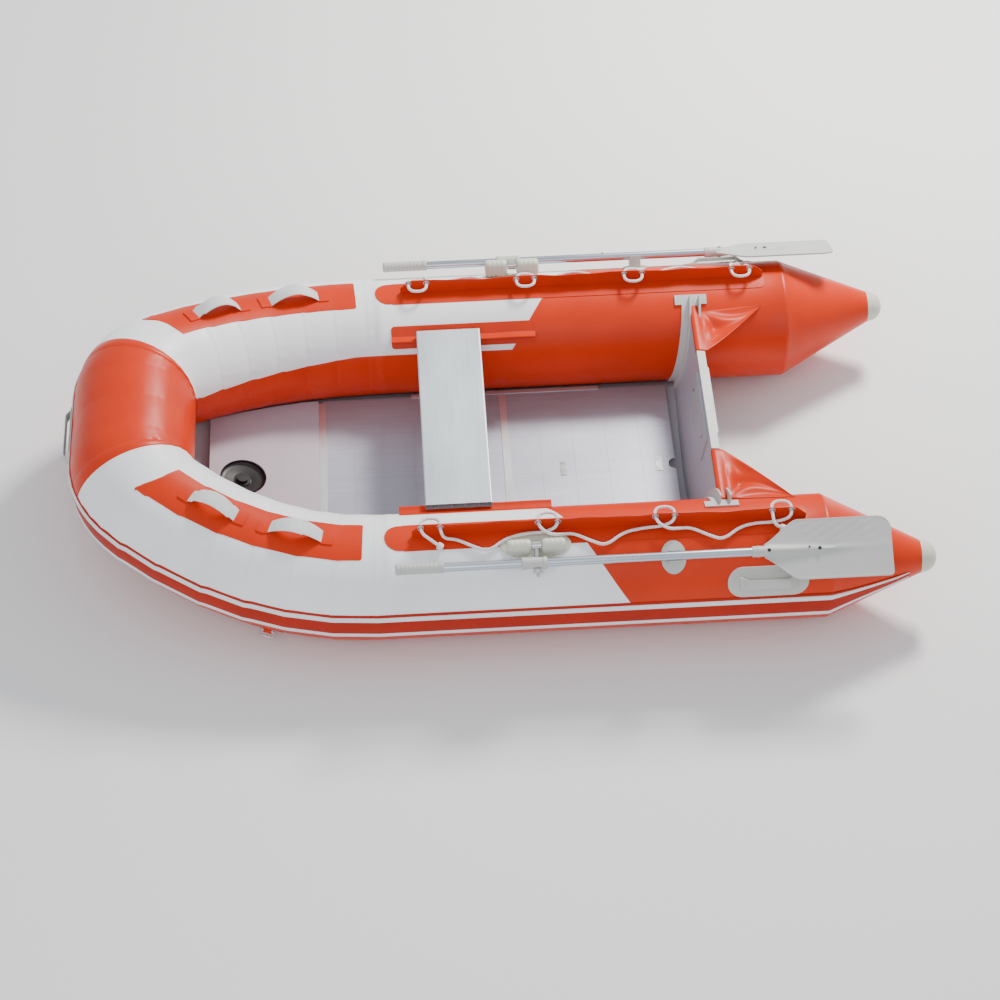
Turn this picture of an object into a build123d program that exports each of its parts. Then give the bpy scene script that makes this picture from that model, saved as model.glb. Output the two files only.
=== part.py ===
"""Inflatable dinghy with an aluminium floor, a bench, a transom and two stowed oars.

Built in millimetres. While building, x runs forward from the stern cone tips, y to port, z up from
the surface that the tubes rest on. On export everything moves back by MID_X, so that the origin is at
the middle of the boat's length, on its centreline, on that surface.
"""

from build123d import *
import math
import os

os.makedirs("parts", exist_ok=True)

# ---- hull: driving dimensions ----
TUBE_R = 210.0          # outer radius of the buoyancy tubes
CENTRE_Y = 570.0        # centreline to tube axis, along the straight run
SKIN = 1.2              # coated fabric
CONE_LENGTH = 336.0     # stern cones
CONE_TIP_R = 53.0
CONE_OUT = 31.0         # how far the cone tip stands outboard of the tube axis
CONE_UP = 5.0
CAP_LENGTH = 48.0       # moulded cap on each cone
SEAM_X = 1794.0         # baffle between the side chambers and the bow chamber
BEND_X = 1833.0         # the tubes start to turn inboard here
BOW_R1, BOW_A1 = 1239.0, 36.5   # long bow curve: axis radius and angle
BOW_R2 = 222.0          # tight bow corner
SEAM_A = 68.0           # heading of the tube at the bow panel's seam
BOW_RISE = 150.0        # how much higher the tube axis is at the stem
GLUE = 0.3              # gap that stands for a glue line between curved faces
RUN = 0.3               # clearance beside soft pieces

# ---- strips and patches glued on the tubes ----
PATCH = 1.5
STRAKE_TOP, STRAKE_LOW = 13.0, -18.0     # degrees round the tube, 0 is outboard, 90 is up
STRAKE_THICK = 3.0
RIB_ANGLES = (8.5, -13.5)
RIB_HALF_ANGLE = 2.5
RIB_HEIGHT = 7.0
CARRY_X, CARRY_ANGLE = 547.0, 28.5
CARRY_LENGTH, CARRY_WIDTH = 270.0, 112.0
CARRY_BAR_LENGTH, CARRY_BAR_WIDTH = 140.0, 26.0
CARRY_STAND = 34.0
STRAP_WIDTH, STRAP_THICK, STRAP_ARCH = 46.0, 3.0, 45.0
STRAP_ANGLE = 87.0
PATCH_LOW, PATCH_HIGH = 66.0, 106.0

# ---- lifelines ----
ROPE_D = 11.0
KNOT_R, KNOT_LENGTH = 11.5, 19.0
FLAP_ANGLE = 88.0
FLAP_X0, FLAP_X1 = 408.0, 1716.0
FLAP_HEIGHT, FLAP_THICK = 58.0, 3.0
FLAP_BAND = 15.0        # degrees of base patch each side of the flap
FLAP_DISC_R, FLAP_DISC_X = 52.0, 1757.0
STATIONS = (1654.0, 1266.0, 878.0, 490.0)
GROMMET_HALF = 32.5     # half the distance between a pair of grommets
GROMMET_UP = 42.0       # above the tube's crown
GROMMET_HOLE_D, GROMMET_D, GROMMET_FLANGE = 15.0, 25.0, 1.2

# ---- floor ----
FLOOR_TOP, FLOOR_THICK = 75.0, 11.0
FLOOR_X0, FLOOR_JOINT_1, FLOOR_JOINT_2, BOW_BOARD_END = 768.0, 1365.0, 2020.0, 2425.0
FLOOR_HALF = 385.0
JOINER_WIDTH, JOINER_LIP, JOINER_WEB = 26.0, 2.0, 3.0
PLANK = 110.0           # pitch of the floor planks
GROOVE, GROOVE_DEPTH = 3.0, 1.0
STRINGER_X0, STRINGER_X1 = 1012.0, 1695.0
BOW_SLOPE = 0.137       # rise of the bow board per unit of length
HOLE_X, HOLE_R = 2306.0, 82.0
NOTCH_R = 24.0
PLATE_XS = (827.0, 1167.0)
KEEL_R = 29.0
KEEL_BEND, KEEL_END = 2040.0, 2400.0
KEEL_Z = 32.0

# ---- transom ----
TRANSOM_FOOT_X, TRANSOM_RAKE = 727.0, 8.0     # front face at floor level, degrees aft
TRANSOM_THICK, TRANSOM_TOP = 27.0, 400.0
TRIM_THICK = 3.0
HOLDER_THICK = 5.0
HOLDER_A0, HOLDER_A1 = 108.0, 220.0
HOLDER_FOOT, HOLDER_FOOT_AFT = 28.0, 10.0      # width of the glued foot ahead of and behind the transom
HOLDER_ROOT_PORT, HOLDER_ROOT_STARBOARD = 3.5, 1.0
HOLDER_ARM_X0, HOLDER_ARM_X1 = 620.0, 734.0
HOLDER_FLANGE, HOLDER_FLANGE_THICK = 30.0, 6.0
MOTOR_WIDTH, MOTOR_HEIGHT, MOTOR_PLATE_THICK = 330.0, 200.0, 6.0

# ---- bench ----
BENCH_X, BENCH_WIDTH, BENCH_THICK = 1553.0, 227.0, 24.0
BENCH_TOP, BENCH_HALF = 387.0, 412.0
BENCH_WALL = 2.0
RAIL_X0, RAIL_X1 = 1241.0, 1756.0
RAIL_Z, BEAD_Y, BEAD_D = 354.0, 392.0, 10.0
TONGUE = 3.0
BENCH_PLAY = 0.6        # clearance of the rail bead in the bench's end profile

# ---- oars, stowed along the tubes ----
OAR_ANGLE = 30.0        # the blade's width direction points this far below outboard
OAR_Y, OAR_Z = 144.6, 208.8     # shaft axis from the tube axis
AXLE_Y, AXLE_Z = 94.2, 238.0    # oarlock axle from the tube axis
PIVOT_X = 1310.0
SHAFT_D, SHAFT_WALL = 29.0, 1.6
GRIP_X0, GRIP_X1, GRIP_D = 1616.0, 1776.0, 37.0
SPLIT_X, NECK_LENGTH, NECK_PLAY = 933.0, 95.0, 0.15
SOCKET_X, SOCKET_D, SOCKET_DEPTH = 603.0, 36.0, 90.0
BLADE_X0, SHOULDER_X, SHOULDER_END_X = 140.0, 567.0, 455.0
BLADE_HALF, BLADE_THICK = 101.0, 4.0
BLADE_CORNER_IN, BLADE_CORNER_OUT = 44.0, 14.0
SPINE_END_X = 200.0
BUTTON_X, BUTTON_D, BUTTON_OUT, BUTTON_TRAVEL = 975.0, 8.0, 4.0, 5.0
COLLAR_LENGTH, COLLAR_D = 86.0, 43.0
PIN_D, PIN_PLAY = 10.0, 0.05
BLOCK_LENGTH, BLOCK_R = 30.0, 15.0
KNOB_R, KNOB_THICK = 15.0, 12.0
NUT_END = 48.0          # pin tip from the shaft axis
AXLE_D = 10.0
LOBE_D, LOBE_LENGTH, LOBE_GAP = 46.0, 80.0, 34.0
LOCK_BASE_LENGTH, LOCK_BASE_WIDTH, LOCK_BASE_THICK = 238.0, 100.0, 6.0
LOCK_BASE_ANGLE = 73.0
CLIP_X, CLIP_LENGTH = 858.0, 40.0
CLIP_BASE_LENGTH, CLIP_BASE_WIDTH, CLIP_PLAY = 84.0, 112.0, 0.8

# ---- bow fittings and valves ----
EYE_WIDTH, EYE_HEIGHT, EYE_STAND = 250.0, 84.0, 30.0
RING_ANGLE, RING_HALF, RING_LONG, RING_WIRE = -46.0, 24.0, 34.0, 6.0
RING_PATCH_R = 60.0
RING_HANG = 45.0        # degrees between the patch and the ring where it hangs
VALVE_R, VALVE_CAP_R, VALVE_CAP_H = 30.0, 21.0, 12.0
VALVE_X, VALVE_ANGLE = 1590.0, 172.0
BOW_VALVE_NODE = 5

STERN_END = -CAP_LENGTH
BOW_Y = CENTRE_Y - BOW_R1 * (1 - math.cos(math.radians(BOW_A1))) - BOW_R2 * math.cos(math.radians(BOW_A1))
STEM_X = BEND_X + BOW_R1 * math.sin(math.radians(BOW_A1)) + BOW_R2 * (1 - math.sin(math.radians(BOW_A1)))
BOW_END = STEM_X + TUBE_R + GLUE + EYE_STAND
MID_X = (STERN_END + BOW_END) / 2


# ---- helpers ----
def save(name, *shapes):
    """Write one node, moved so that the origin is at the middle of the boat."""
    solids = [solid for shape in shapes for solid in shape.solids()]
    group = Compound(children=solids) if len(solids) > 1 else solids[0]
    group.label = name
    export_step(group.moved(Location((-MID_X, 0, 0))), f"parts/{name}.step")


def both(shape):
    """A port piece and its starboard mirror image."""
    return [shape, mirror(shape, about=Plane.XZ)]


def for_side(shape, side):
    return shape if side > 0 else mirror(shape, about=Plane.XZ)


def fused(shapes):
    whole = shapes[0]
    for shape in shapes[1:]:
        whole = whole + shape
    return whole


def polar(radius, angle):
    return (radius * math.cos(math.radians(angle)), radius * math.sin(math.radians(angle)))


def sector(r0, r1, a0, a1):
    """A piece of a ring, as a face in the plane across the tube."""
    middle = (a0 + a1) / 2
    outer = ThreePointArc(polar(r1, a0), polar(r1, middle), polar(r1, a1))
    inner = ThreePointArc(polar(r0, a1), polar(r0, middle), polar(r0, a0))
    sides = [Line(polar(r1, a1), polar(r0, a1)), Line(polar(r0, a0), polar(r1, a0))]
    return make_face([outer, sides[0], inner, sides[1]])


def across(x, y=CENTRE_Y, z=TUBE_R):
    """The plane across the port tube at x: its own x is outboard and its own y is up."""
    return Plane(origin=(x, y, z), x_dir=(0, 1, 0), z_dir=(1, 0, 0))


def straight(face, x0, x1):
    """A profile run along the straight part of the port tube."""
    return extrude(across(x0) * face, amount=x1 - x0)


def rise_at(x):
    """Height of the tube axis over its height amidships."""
    share = max(0.0, (x - BEND_X) / (STEM_X - BEND_X))
    return BOW_RISE * share ** 2


def bow_axis():
    """Port half of the bow tube's axis, from the baffle to the stem, and its headings."""
    points = [(SEAM_X, CENTRE_Y, 0.0), (BEND_X, CENTRE_Y, 0.0)]
    stretches = ((BOW_R1, 0.0, BOW_A1, 6), (BOW_R2, BOW_A1, SEAM_A, 4), (BOW_R2, SEAM_A, 90.0, 3))
    for radius, start, end, count in stretches:
        for step in range(count):
            x, y, _ = points[-1]
            h0 = math.radians(start + (end - start) * step / count)
            h1 = math.radians(start + (end - start) * (step + 1) / count)
            x += radius * (math.sin(h1) - math.sin(h0))
            y -= radius * (math.cos(h0) - math.cos(h1))
            points.append((x, y, h1))
    points.append((points[-1][0], 0.0, math.radians(90.0)))
    return [Vector(x, y, TUBE_R + rise_at(x)) for x, y, _ in points], [h for _, _, h in points]


AXIS, HEADINGS = bow_axis()
SEAM_NODE = 11
OVER = 160.0            # length added to each straight gore before its mitres are cut


def gore_frame(i):
    """Direction of a gore and the horizontal direction that points outboard of it."""
    run = (AXIS[i + 1] - AXIS[i]).normalized()
    return run, Vector(-run.Y, run.X, 0).normalized()


def mitre(i):
    """The plane between two gores at axis point i."""
    if i == len(AXIS) - 1:
        return Plane(origin=AXIS[i], z_dir=(0, -1, 0))
    run = (AXIS[i + 1] - AXIS[i]).normalized()
    before = (AXIS[i] - AXIS[i - 1]).normalized() if i > 0 else run
    return Plane(origin=AXIS[i], z_dir=(run + before).normalized())


def along(face, first, last):
    """A profile run round the port bow as straight gores with mitred joints."""
    gores = []
    for i in range(first, last):
        run, outboard = gore_frame(i)
        start = Plane(origin=AXIS[i] - run * OVER, x_dir=outboard, z_dir=run)
        gore = extrude(start * face, amount=(AXIS[i + 1] - AXIS[i]).length + 2 * OVER)
        gore = split(gore, bisect_by=mitre(i), keep=Keep.TOP)
        gores.append(split(gore, bisect_by=mitre(i + 1), keep=Keep.BOTTOM))
    return fused(gores)


def on_bow(i, share, angle, radius):
    """A point on the port bow: between axis points i and i + 1, at an angle round the tube."""
    run, outboard = gore_frame(i)
    up = run.cross(outboard)
    y, z = polar(radius, angle)
    return AXIS[i] + (AXIS[i + 1] - AXIS[i]) * share + outboard * y + up * z


def on_side(x, angle, radius):
    """A point on or near the straight port tube."""
    y, z = polar(radius, angle)
    return Vector(x, CENTRE_Y + y, TUBE_R + z)


def sheet(rows, offset):
    """A thin closed solid on a grid of points: offset is the vector from its lower to its upper face."""
    low = [[Vector(p) for p in row] for row in rows]
    high = [[p + offset for p in row] for row in low]
    m, n = len(rows), len(rows[0])
    faces = []

    def cell(a, b, c, d):
        faces.append(Face(Wire.make_polygon([a, b, c], close=True)))
        faces.append(Face(Wire.make_polygon([a, c, d], close=True)))

    for i in range(m - 1):
        for j in range(n - 1):
            cell(high[i][j], high[i + 1][j], high[i + 1][j + 1], high[i][j + 1])
            cell(low[i][j], low[i][j + 1], low[i + 1][j + 1], low[i + 1][j])
    for i in range(m - 1):
        cell(low[i][0], low[i + 1][0], high[i + 1][0], high[i][0])
        cell(low[i][-1], high[i][-1], high[i + 1][-1], low[i + 1][-1])
    for j in range(n - 1):
        cell(low[0][j], high[0][j], high[0][j + 1], low[0][j + 1])
        cell(low[-1][j], low[-1][j + 1], high[-1][j + 1], high[-1][j])
    return Solid(Shell(faces))


def radial_plane(x, angle, radius):
    """Plane tangent to the port tube: its own x runs forward and its z points away from the tube."""
    return Plane(origin=on_side(x, angle, radius), x_dir=(1, 0, 0), z_dir=(0, *polar(1, angle)))


# ---- buoyancy tubes ----
def cone_shell():
    tip = across(0, CENTRE_Y + CONE_OUT, TUBE_R + CONE_UP)
    outer = loft([across(CONE_LENGTH) * Circle(TUBE_R), tip * Circle(CONE_TIP_R)], ruled=True)
    inner = loft([across(CONE_LENGTH) * Circle(TUBE_R - SKIN), tip * Circle(CONE_TIP_R - SKIN)], ruled=True)
    return outer - inner


def tubes():
    ring = Circle(TUBE_R) - Circle(TUBE_R - SKIN)
    port = cone_shell() + straight(ring, CONE_LENGTH, SEAM_X)
    save("tube_port", port)
    save("tube_starboard", mirror(port, about=Plane.XZ))
    quarter = along(ring, 0, SEAM_NODE)
    save("tube_bow_port", quarter)
    save("tube_bow_starboard", mirror(quarter, about=Plane.XZ))
    half = along(ring, SEAM_NODE, len(AXIS) - 1)
    save("tube_bow_centre", half + mirror(half, about=Plane.XZ))
    baffle = straight(Circle(TUBE_R - SKIN - GLUE), SEAM_X - 6, SEAM_X - 6 + SKIN)
    save("tube_baffles", *both(baffle))
    tip = across(0, CENTRE_Y + CONE_OUT, TUBE_R + CONE_UP)
    cap = Plane(origin=tip.origin, z_dir=(-1, 0, 0)) * loft(
        [Circle(CONE_TIP_R), Pos(0, 0, 22) * Circle(46), Pos(0, 0, 38) * Circle(30),
         Pos(0, 0, CAP_LENGTH) * Circle(8)], ruled=True)
    save("cone_caps", *both(cap))


def rub_strake():
    """A flat band with two ribs, round both sides and the bow and on to the cones."""
    bands = [sector(TUBE_R + GLUE, TUBE_R + GLUE + STRAKE_THICK, STRAKE_LOW, STRAKE_TOP)]
    for angle in RIB_ANGLES:
        bands.append(sector(TUBE_R + GLUE, TUBE_R + GLUE + RIB_HEIGHT,
                            angle - RIB_HALF_ANGLE, angle + RIB_HALF_ANGLE))
    profile = fused(bands)
    port = straight(profile, CONE_LENGTH, SEAM_X) + along(profile, 0, len(AXIS) - 1)
    save("rub_strake", port + mirror(port, about=Plane.XZ))


# ---- pieces glued on the bow quarters ----
def bow_handles():
    patch = along(sector(TUBE_R + GLUE, TUBE_R + GLUE + PATCH, PATCH_LOW, PATCH_HIGH), 1, 8)
    save("handle_patches", *both(patch))
    straps = []
    foot = TUBE_R + GLUE + PATCH + 0.4
    for spans in ([(2, 0.30), (4, 0.15)], [(4, 0.75), (6, 0.45)]):
        (i0, s0), (i1, s1) = spans
        rows = []
        steps = 12
        for k in range(steps + 1):
            place = i0 + s0 + (i1 + s1 - i0 - s0) * k / steps
            i, share = int(place), place - int(place)
            run, outboard = gore_frame(i)
            up = outboard * polar(1, STRAP_ANGLE)[0] + run.cross(outboard) * polar(1, STRAP_ANGLE)[1]
            level = max(0.0, math.sin(math.pi * (k - 1) / (steps - 2))) if 0 < k < steps else 0.0
            middle = on_bow(i, share, STRAP_ANGLE, foot) + up * (STRAP_ARCH * level ** 0.8)
            half = run.cross(up) * (STRAP_WIDTH / 2)
            rows.append([middle - half, middle + half])
        up = Vector(0, 0, STRAP_THICK)
        straps.append(sheet(rows, up))
    save("handle_straps", *[s for strap in straps for s in both(strap)])


def tow_rings():
    """A patch under each bow quarter with a ring that hangs in a small bail."""
    node, share = 3, 0.5
    run, outboard = gore_frame(node)
    normal = outboard * polar(1, RING_ANGLE)[0] + run.cross(outboard) * polar(1, RING_ANGLE)[1]
    foot = on_bow(node, share, RING_ANGLE, TUBE_R + GLUE)
    base = Plane(origin=foot, x_dir=run, z_dir=normal)
    patch = along(sector(TUBE_R + GLUE, TUBE_R + GLUE + PATCH, RING_ANGLE - 16, RING_ANGLE + 16), 3, 4)
    reach = base * extrude(Circle(RING_PATCH_R), amount=20, both=True)
    patch = patch & reach
    # the bail is a webbing loop on the patch; the ring's straight bar turns inside it
    bar_up = PATCH + 9.0
    barrel = Pos(0, 0, bar_up) * Rot(0, 90, 0) * Cylinder(8, 28)
    foot_block = Pos(0, 0, PATCH + 0.3) * Box(28, 30, 2.6, align=(Align.CENTER, Align.CENTER, Align.MIN))
    bail = base * (barrel + foot_block - Pos(0, 0, bar_up) * Rot(0, 90, 0) * Cylinder(RING_WIRE / 2 + 0.1, 40))
    save("tow_ring_patches", *both(patch), *both(bail))
    corners = [(RING_HALF, 0), (RING_HALF, RING_LONG), (-RING_HALF, RING_LONG), (-RING_HALF, 0)]
    loop = FilletPolyline(*corners, radius=8, close=True)
    ring = sweep(Plane(origin=loop @ 0, z_dir=loop % 0) * Circle(RING_WIRE / 2), path=loop)
    hang = Plane(origin=base.origin + normal * bar_up, x_dir=run, z_dir=normal)
    ring = hang * (Rot(RING_HANG, 0, 0) * ring)
    save("tow_ring_port", ring)
    save("tow_ring_starboard", mirror(ring, about=Plane.XZ))
    return hang


def bow_tow_eye():
    """Moulded grab handle on the stem: a curved base, a raised bar and a finger gap behind it."""
    stem = AXIS[-1]
    base_r = TUBE_R + GLUE + RIB_HEIGHT + 0.3
    plane = Plane(origin=(stem.X, EYE_WIDTH / 2, stem.Z), x_dir=(1, 0, 0), z_dir=(0, -1, 0))
    half = math.degrees(EYE_HEIGHT / 2 / TUBE_R)
    base = extrude(plane * sector(base_r, base_r + 3, -half, half), amount=EYE_WIDTH)
    outer = TUBE_R + GLUE + EYE_STAND
    bar = extrude(plane * sector(outer - 6, outer, -5, 5), amount=EYE_WIDTH)
    lug = extrude(plane * sector(base_r + 2, outer - 5, -5, 5), amount=26)
    far_lug = Pos(0, -(EYE_WIDTH - 26), 0) * lug
    save("bow_tow_eye", base + bar + lug + far_lug)


# ---- lifelines ----
FLAP_Y, FLAP_Z = polar(TUBE_R, FLAP_ANGLE)


def lifeline_flaps():
    """A patch on the tube's crown with an upright flap, and two rows of grommets through it."""
    r0 = TUBE_R + GLUE
    strip = straight(sector(r0, r0 + PATCH, FLAP_ANGLE - FLAP_BAND, FLAP_ANGLE + FLAP_BAND), FLAP_X0, FLAP_DISC_X)
    start = straight(sector(r0, r0 + PATCH, FLAP_ANGLE - 30, FLAP_ANGLE + 30), FLAP_DISC_X - 1, FLAP_DISC_X + 100)
    disc = radial_plane(FLAP_DISC_X, FLAP_ANGLE, TUBE_R) * extrude(Circle(FLAP_DISC_R), amount=30, both=True)
    flap_plane = Plane(origin=(0, CENTRE_Y + FLAP_Y, TUBE_R + FLAP_Z), x_dir=(1, 0, 0), z_dir=(0, -1, 0))
    length = FLAP_X1 - FLAP_X0
    panel = flap_plane * (Pos((FLAP_X0 + FLAP_X1) / 2, FLAP_HEIGHT / 2 + 1.2, 0) * Box(length, FLAP_HEIGHT - 1.6, FLAP_THICK))
    holes, grommets = [], []
    for x in STATIONS:
        for offset in (-GROMMET_HALF, GROMMET_HALF):
            place = flap_plane * Pos(x + offset, GROMMET_UP + TUBE_R - FLAP_Z, 0)
            holes.append(place * Cylinder(GROMMET_D / 2 - 2.5, 20))
            barrel = Cylinder(GROMMET_D / 2 - 2.5 - 0.05, FLAP_THICK + 2 * GROMMET_FLANGE)
            flange = Cylinder(GROMMET_D / 2, GROMMET_FLANGE)
            up = FLAP_THICK / 2 + GROMMET_FLANGE / 2
            ring = barrel + Pos(0, 0, up) * flange + Pos(0, 0, -up) * flange
            grommets.append(place * (ring - Cylinder(GROMMET_HOLE_D / 2, 30)))
    notch = radial_plane(PIVOT_X, LOCK_BASE_ANGLE, TUBE_R - 20) * extrude(
        Ellipse(LOCK_BASE_LENGTH / 2 + 1, LOCK_BASE_WIDTH / 2 + 1), amount=60)
    flap = strip + (start & disc) - notch + panel
    for hole in holes:
        flap = flap - hole
    save("lifeline_flaps", *both(flap))
    save("lifeline_grommets", *[g for grommet in grommets for g in both(grommet)])


def rope_station(x, first, last):
    """Points of the rope at one pair of grommets: u outboard of the flap, w above the tube's crown."""
    aft, fore = x - GROMMET_HALF, x + GROMMET_HALF
    u0 = CENTRE_Y + FLAP_Y
    w0 = 2 * TUBE_R
    up = w0 + GROMMET_UP
    if first:
        return [(x - 22, u0 + 50, w0 + 11), (x + 2, u0 + 36, w0 + 24), (fore, u0 + 21, up), (fore, u0 - 40, up),
                (aft, u0 - 40, up), (aft, u0 + 21, up), (x - 45, u0 + 27, w0 + 14)]
    if last:
        return [(x + 45, u0 + 27, w0 + 14), (aft + 24, u0 + 26, w0 + 22), (aft, u0 + 21, up), (aft, u0 - 40, up),
                (fore, u0 - 40, up), (fore, u0 + 21, up), (x + 30, u0 + 46, w0 + 24), (x + 8, u0 + 49, w0 + 13)]
    return [(x + 50, u0 + 21, w0 + 13), (x + 8, u0 + 20, w0 + 15), (aft, u0 + 21, up), (aft, u0 - 40, up),
            (fore, u0 - 40, up), (fore, u0 + 21, up), (x - 8, u0 + 44, w0 + 26), (x - 50, u0 + 32, w0 + 14)]


def rope_swag(x0, x1):
    """Points of the rope between two stations, where it hangs down the outboard side of the tube."""
    points = []
    lay = TUBE_R + GLUE + PATCH + ROPE_D / 2 + 1.5
    places = ((0.12, 80.5, 5.5), (0.31, 73.0, 2.5), (0.48, 68.0, 0.0), (0.68, 79.0, 5.5), (0.88, 82.0, 5.5))
    for share, angle, lift in places:
        p = on_side(x0 + (x1 - x0) * share, angle, lay + lift)
        points.append((p.X, p.Y, p.Z))
    return points


def rope_route():
    points = []
    for k, x in enumerate(STATIONS):
        points += rope_station(x, k == 0, k == len(STATIONS) - 1)
        if k < len(STATIONS) - 1:
            points += rope_swag(x - 50, STATIONS[k + 1] + 50)
    return [Vector(*p) for p in points]


def corner_radii(points):
    radii = []
    for a, b, c in zip(points, points[1:], points[2:]):
        turn = math.radians((b - a).get_angle(c - b))
        radii.append(0.45 * min((b - a).length, (c - b).length) / math.tan(turn / 2))
    return radii


def lifelines():
    points = rope_route()
    radii = corner_radii(points)
    print("lifeline radii", [round(r) for r in radii])
    runs = [(b - a).length for a, b in zip(points, points[1:])]
    print("lifeline runs", [round(r) for r in runs])
    path = FilletPolyline(*points, radius=radii)
    start = Plane(origin=points[0], z_dir=points[1] - points[0])
    rope = sweep(start * Circle(ROPE_D / 2), path=path)
    print("lifeline length", round(path.length), "volume ratio", rope.volume / (path.length * math.pi * ROPE_D ** 2 / 4))
    knots = []
    for end, inner in ((points[0], points[1]), (points[-1], points[-2])):
        knot = extrude(Plane(origin=end, z_dir=end - inner) * Circle(KNOT_R), amount=KNOT_LENGTH)
        knots.append(chamfer(knot.edges().filter_by(GeomType.CIRCLE), 4.5))
    save("lifeline_port", rope, *knots)
    save("lifeline_starboard", *[mirror(solid, about=Plane.XZ) for solid in (rope, *knots)])


# ---- floor ----
def floor_profile(x0, x1):
    """Side view of a floor panel: planks with a groove at each joint and hollow cells."""
    count = max(2, round((x1 - x0) / PLANK))
    pitch = (x1 - x0) / count
    plate = Pos((x0 + x1) / 2, FLOOR_TOP - FLOOR_THICK / 2) * Rectangle(x1 - x0, FLOOR_THICK)
    for k in range(1, count):
        plate -= Pos(x0 + k * pitch, FLOOR_TOP) * Rectangle(GROOVE, 2 * GROOVE_DEPTH)
    for k in range(count):
        cell = Rectangle(pitch - 10, FLOOR_THICK - 5)
        plate -= Pos(x0 + (k + 0.5) * pitch, FLOOR_TOP - FLOOR_THICK / 2 - 0.5) * cell
    return plate


def xz_extrude(face, y0, y1):
    """Run a side-view profile from y0 to y1."""
    plane = Plane(origin=(0, y1, 0), x_dir=(1, 0, 0), z_dir=(0, -1, 0))
    return extrude(plane * face, amount=y1 - y0)


def floor_panels():
    half = JOINER_WEB / 2 + RUN
    front = xz_extrude(floor_profile(FLOOR_JOINT_1 + half, FLOOR_JOINT_2 - half), -FLOOR_HALF, FLOOR_HALF)
    rear = xz_extrude(floor_profile(FLOOR_X0, FLOOR_JOINT_1 - half), -FLOOR_HALF, FLOOR_HALF)
    rear -= Pos(FLOOR_X0, 0, FLOOR_TOP) * Cylinder(NOTCH_R, 60)
    save("floor_panel_front", front)
    save("floor_panel_rear", rear)
    joiners = []
    for x in (FLOOR_JOINT_1, FLOOR_JOINT_2):
        web = Pos(x, FLOOR_TOP - FLOOR_THICK / 2) * Rectangle(JOINER_WEB, FLOOR_THICK + 2 * JOINER_LIP + 2 * RUN)
        lips = [Pos(x, z) * Rectangle(JOINER_WIDTH, JOINER_LIP)
                for z in (FLOOR_TOP + RUN + JOINER_LIP / 2, FLOOR_TOP - FLOOR_THICK - RUN - JOINER_LIP / 2)]
        end = FLOOR_HALF - 12
        joiners.append(xz_extrude(fused([web, *lips]), -end, end))
    save("floor_joiners", *joiners)
    channel = Rectangle(16, FLOOR_THICK + 2 * (RUN + 2)) - Pos(-2, 0) * Rectangle(14, FLOOR_THICK + 2 * RUN)
    y_mid = FLOOR_HALF + RUN - 5 + 8 - 1
    rail_plane = Plane(origin=(STRINGER_X0, y_mid, FLOOR_TOP - FLOOR_THICK / 2), x_dir=(0, 1, 0), z_dir=(1, 0, 0))
    stringer = extrude(rail_plane * channel, amount=STRINGER_X1 - STRINGER_X0)
    save("floor_stringers", *both(stringer))
    plates, screws = [], []
    for x in PLATE_XS:
        plates.append(Pos(x, 0, FLOOR_TOP + 0.2 + 1) * Box(22, 64, 2))
        for y in (-24, 24):
            head = Pos(x, y, FLOOR_TOP + 2.3 + 1) * Cylinder(4, 2)
            screws.append(head + Pos(x, y, FLOOR_TOP + 1.4) * Cylinder(2.0, 2.4))
            hole = Pos(x, y, FLOOR_TOP + 1) * Cylinder(2.2, 8)
            plates[-1] -= hole
    save("floor_plates", *plates)
    return screws


def tube_inside(x, z):
    """Distance of the port tube's inner surface from the centreline, at x and height z."""
    crossing = []
    for i in range(len(AXIS) - 1):
        for share in (0.0, 0.25, 0.5, 0.75):
            _, outboard = gore_frame(i)
            middle = AXIS[i] + (AXIS[i + 1] - AXIS[i]) * share
            drop = TUBE_R ** 2 - (z - middle.Z) ** 2
            if drop > 0:
                point = middle - outboard * math.sqrt(drop)
                crossing.append((point.X, point.Y))
    crossing.sort()
    for (x0, y0), (x1, y1) in zip(crossing, crossing[1:]):
        if x0 <= x <= x1 and x1 > x0:
            return y0 + (y1 - y0) * (x - x0) / (x1 - x0)
    return crossing[0][1] if x < crossing[0][0] else crossing[-1][1]


def bow_board():
    """The bow end of the floor: a sloping board with a round hole over the keel's valve."""
    x0 = FLOOR_JOINT_2 + JOINER_WIDTH / 2 + RUN + FLOOR_THICK * BOW_SLOPE
    xs = [x0 + (BOW_BOARD_END - x0) * k / 7 for k in range(8)]
    edge = []
    for x in xs:
        top = FLOOR_TOP + BOW_SLOPE * (x - FLOOR_JOINT_2)
        edge.append(Vector(x, min(FLOOR_HALF, tube_inside(x, top) - 10), 0))
    outline = Polyline(*edge, *[Vector(p.X, -p.Y, 0) for p in reversed(edge)], close=True)
    board = extrude(make_face(outline), amount=FLOOR_THICK)
    board = board - Pos(HOLE_X, 0, 0) * Cylinder(HOLE_R, 60)
    tilt = math.degrees(math.atan(BOW_SLOPE))
    lift = BOW_SLOPE * (x0 - FLOOR_JOINT_2)
    board = Pos(x0, 0, FLOOR_TOP - FLOOR_THICK + lift) * Rot(0, -tilt, 0) * Pos(-x0, 0, 0) * board
    save("bow_board", board)


def keel_line(x):
    """Height of the hull's fabric along the centreline."""
    if x <= KEEL_BEND:
        return 1.0
    turn = KEEL_END + 20
    if x <= turn:
        return 1.0 + BOW_SLOPE * (x - KEEL_BEND)
    start = 1.0 + BOW_SLOPE * (turn - KEEL_BEND)
    stem_low = AXIS[-1].Z - TUBE_R
    share = (x - turn) / (STEM_X - 20 - turn)
    return start + (stem_low - 4.0 - start) * share


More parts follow.
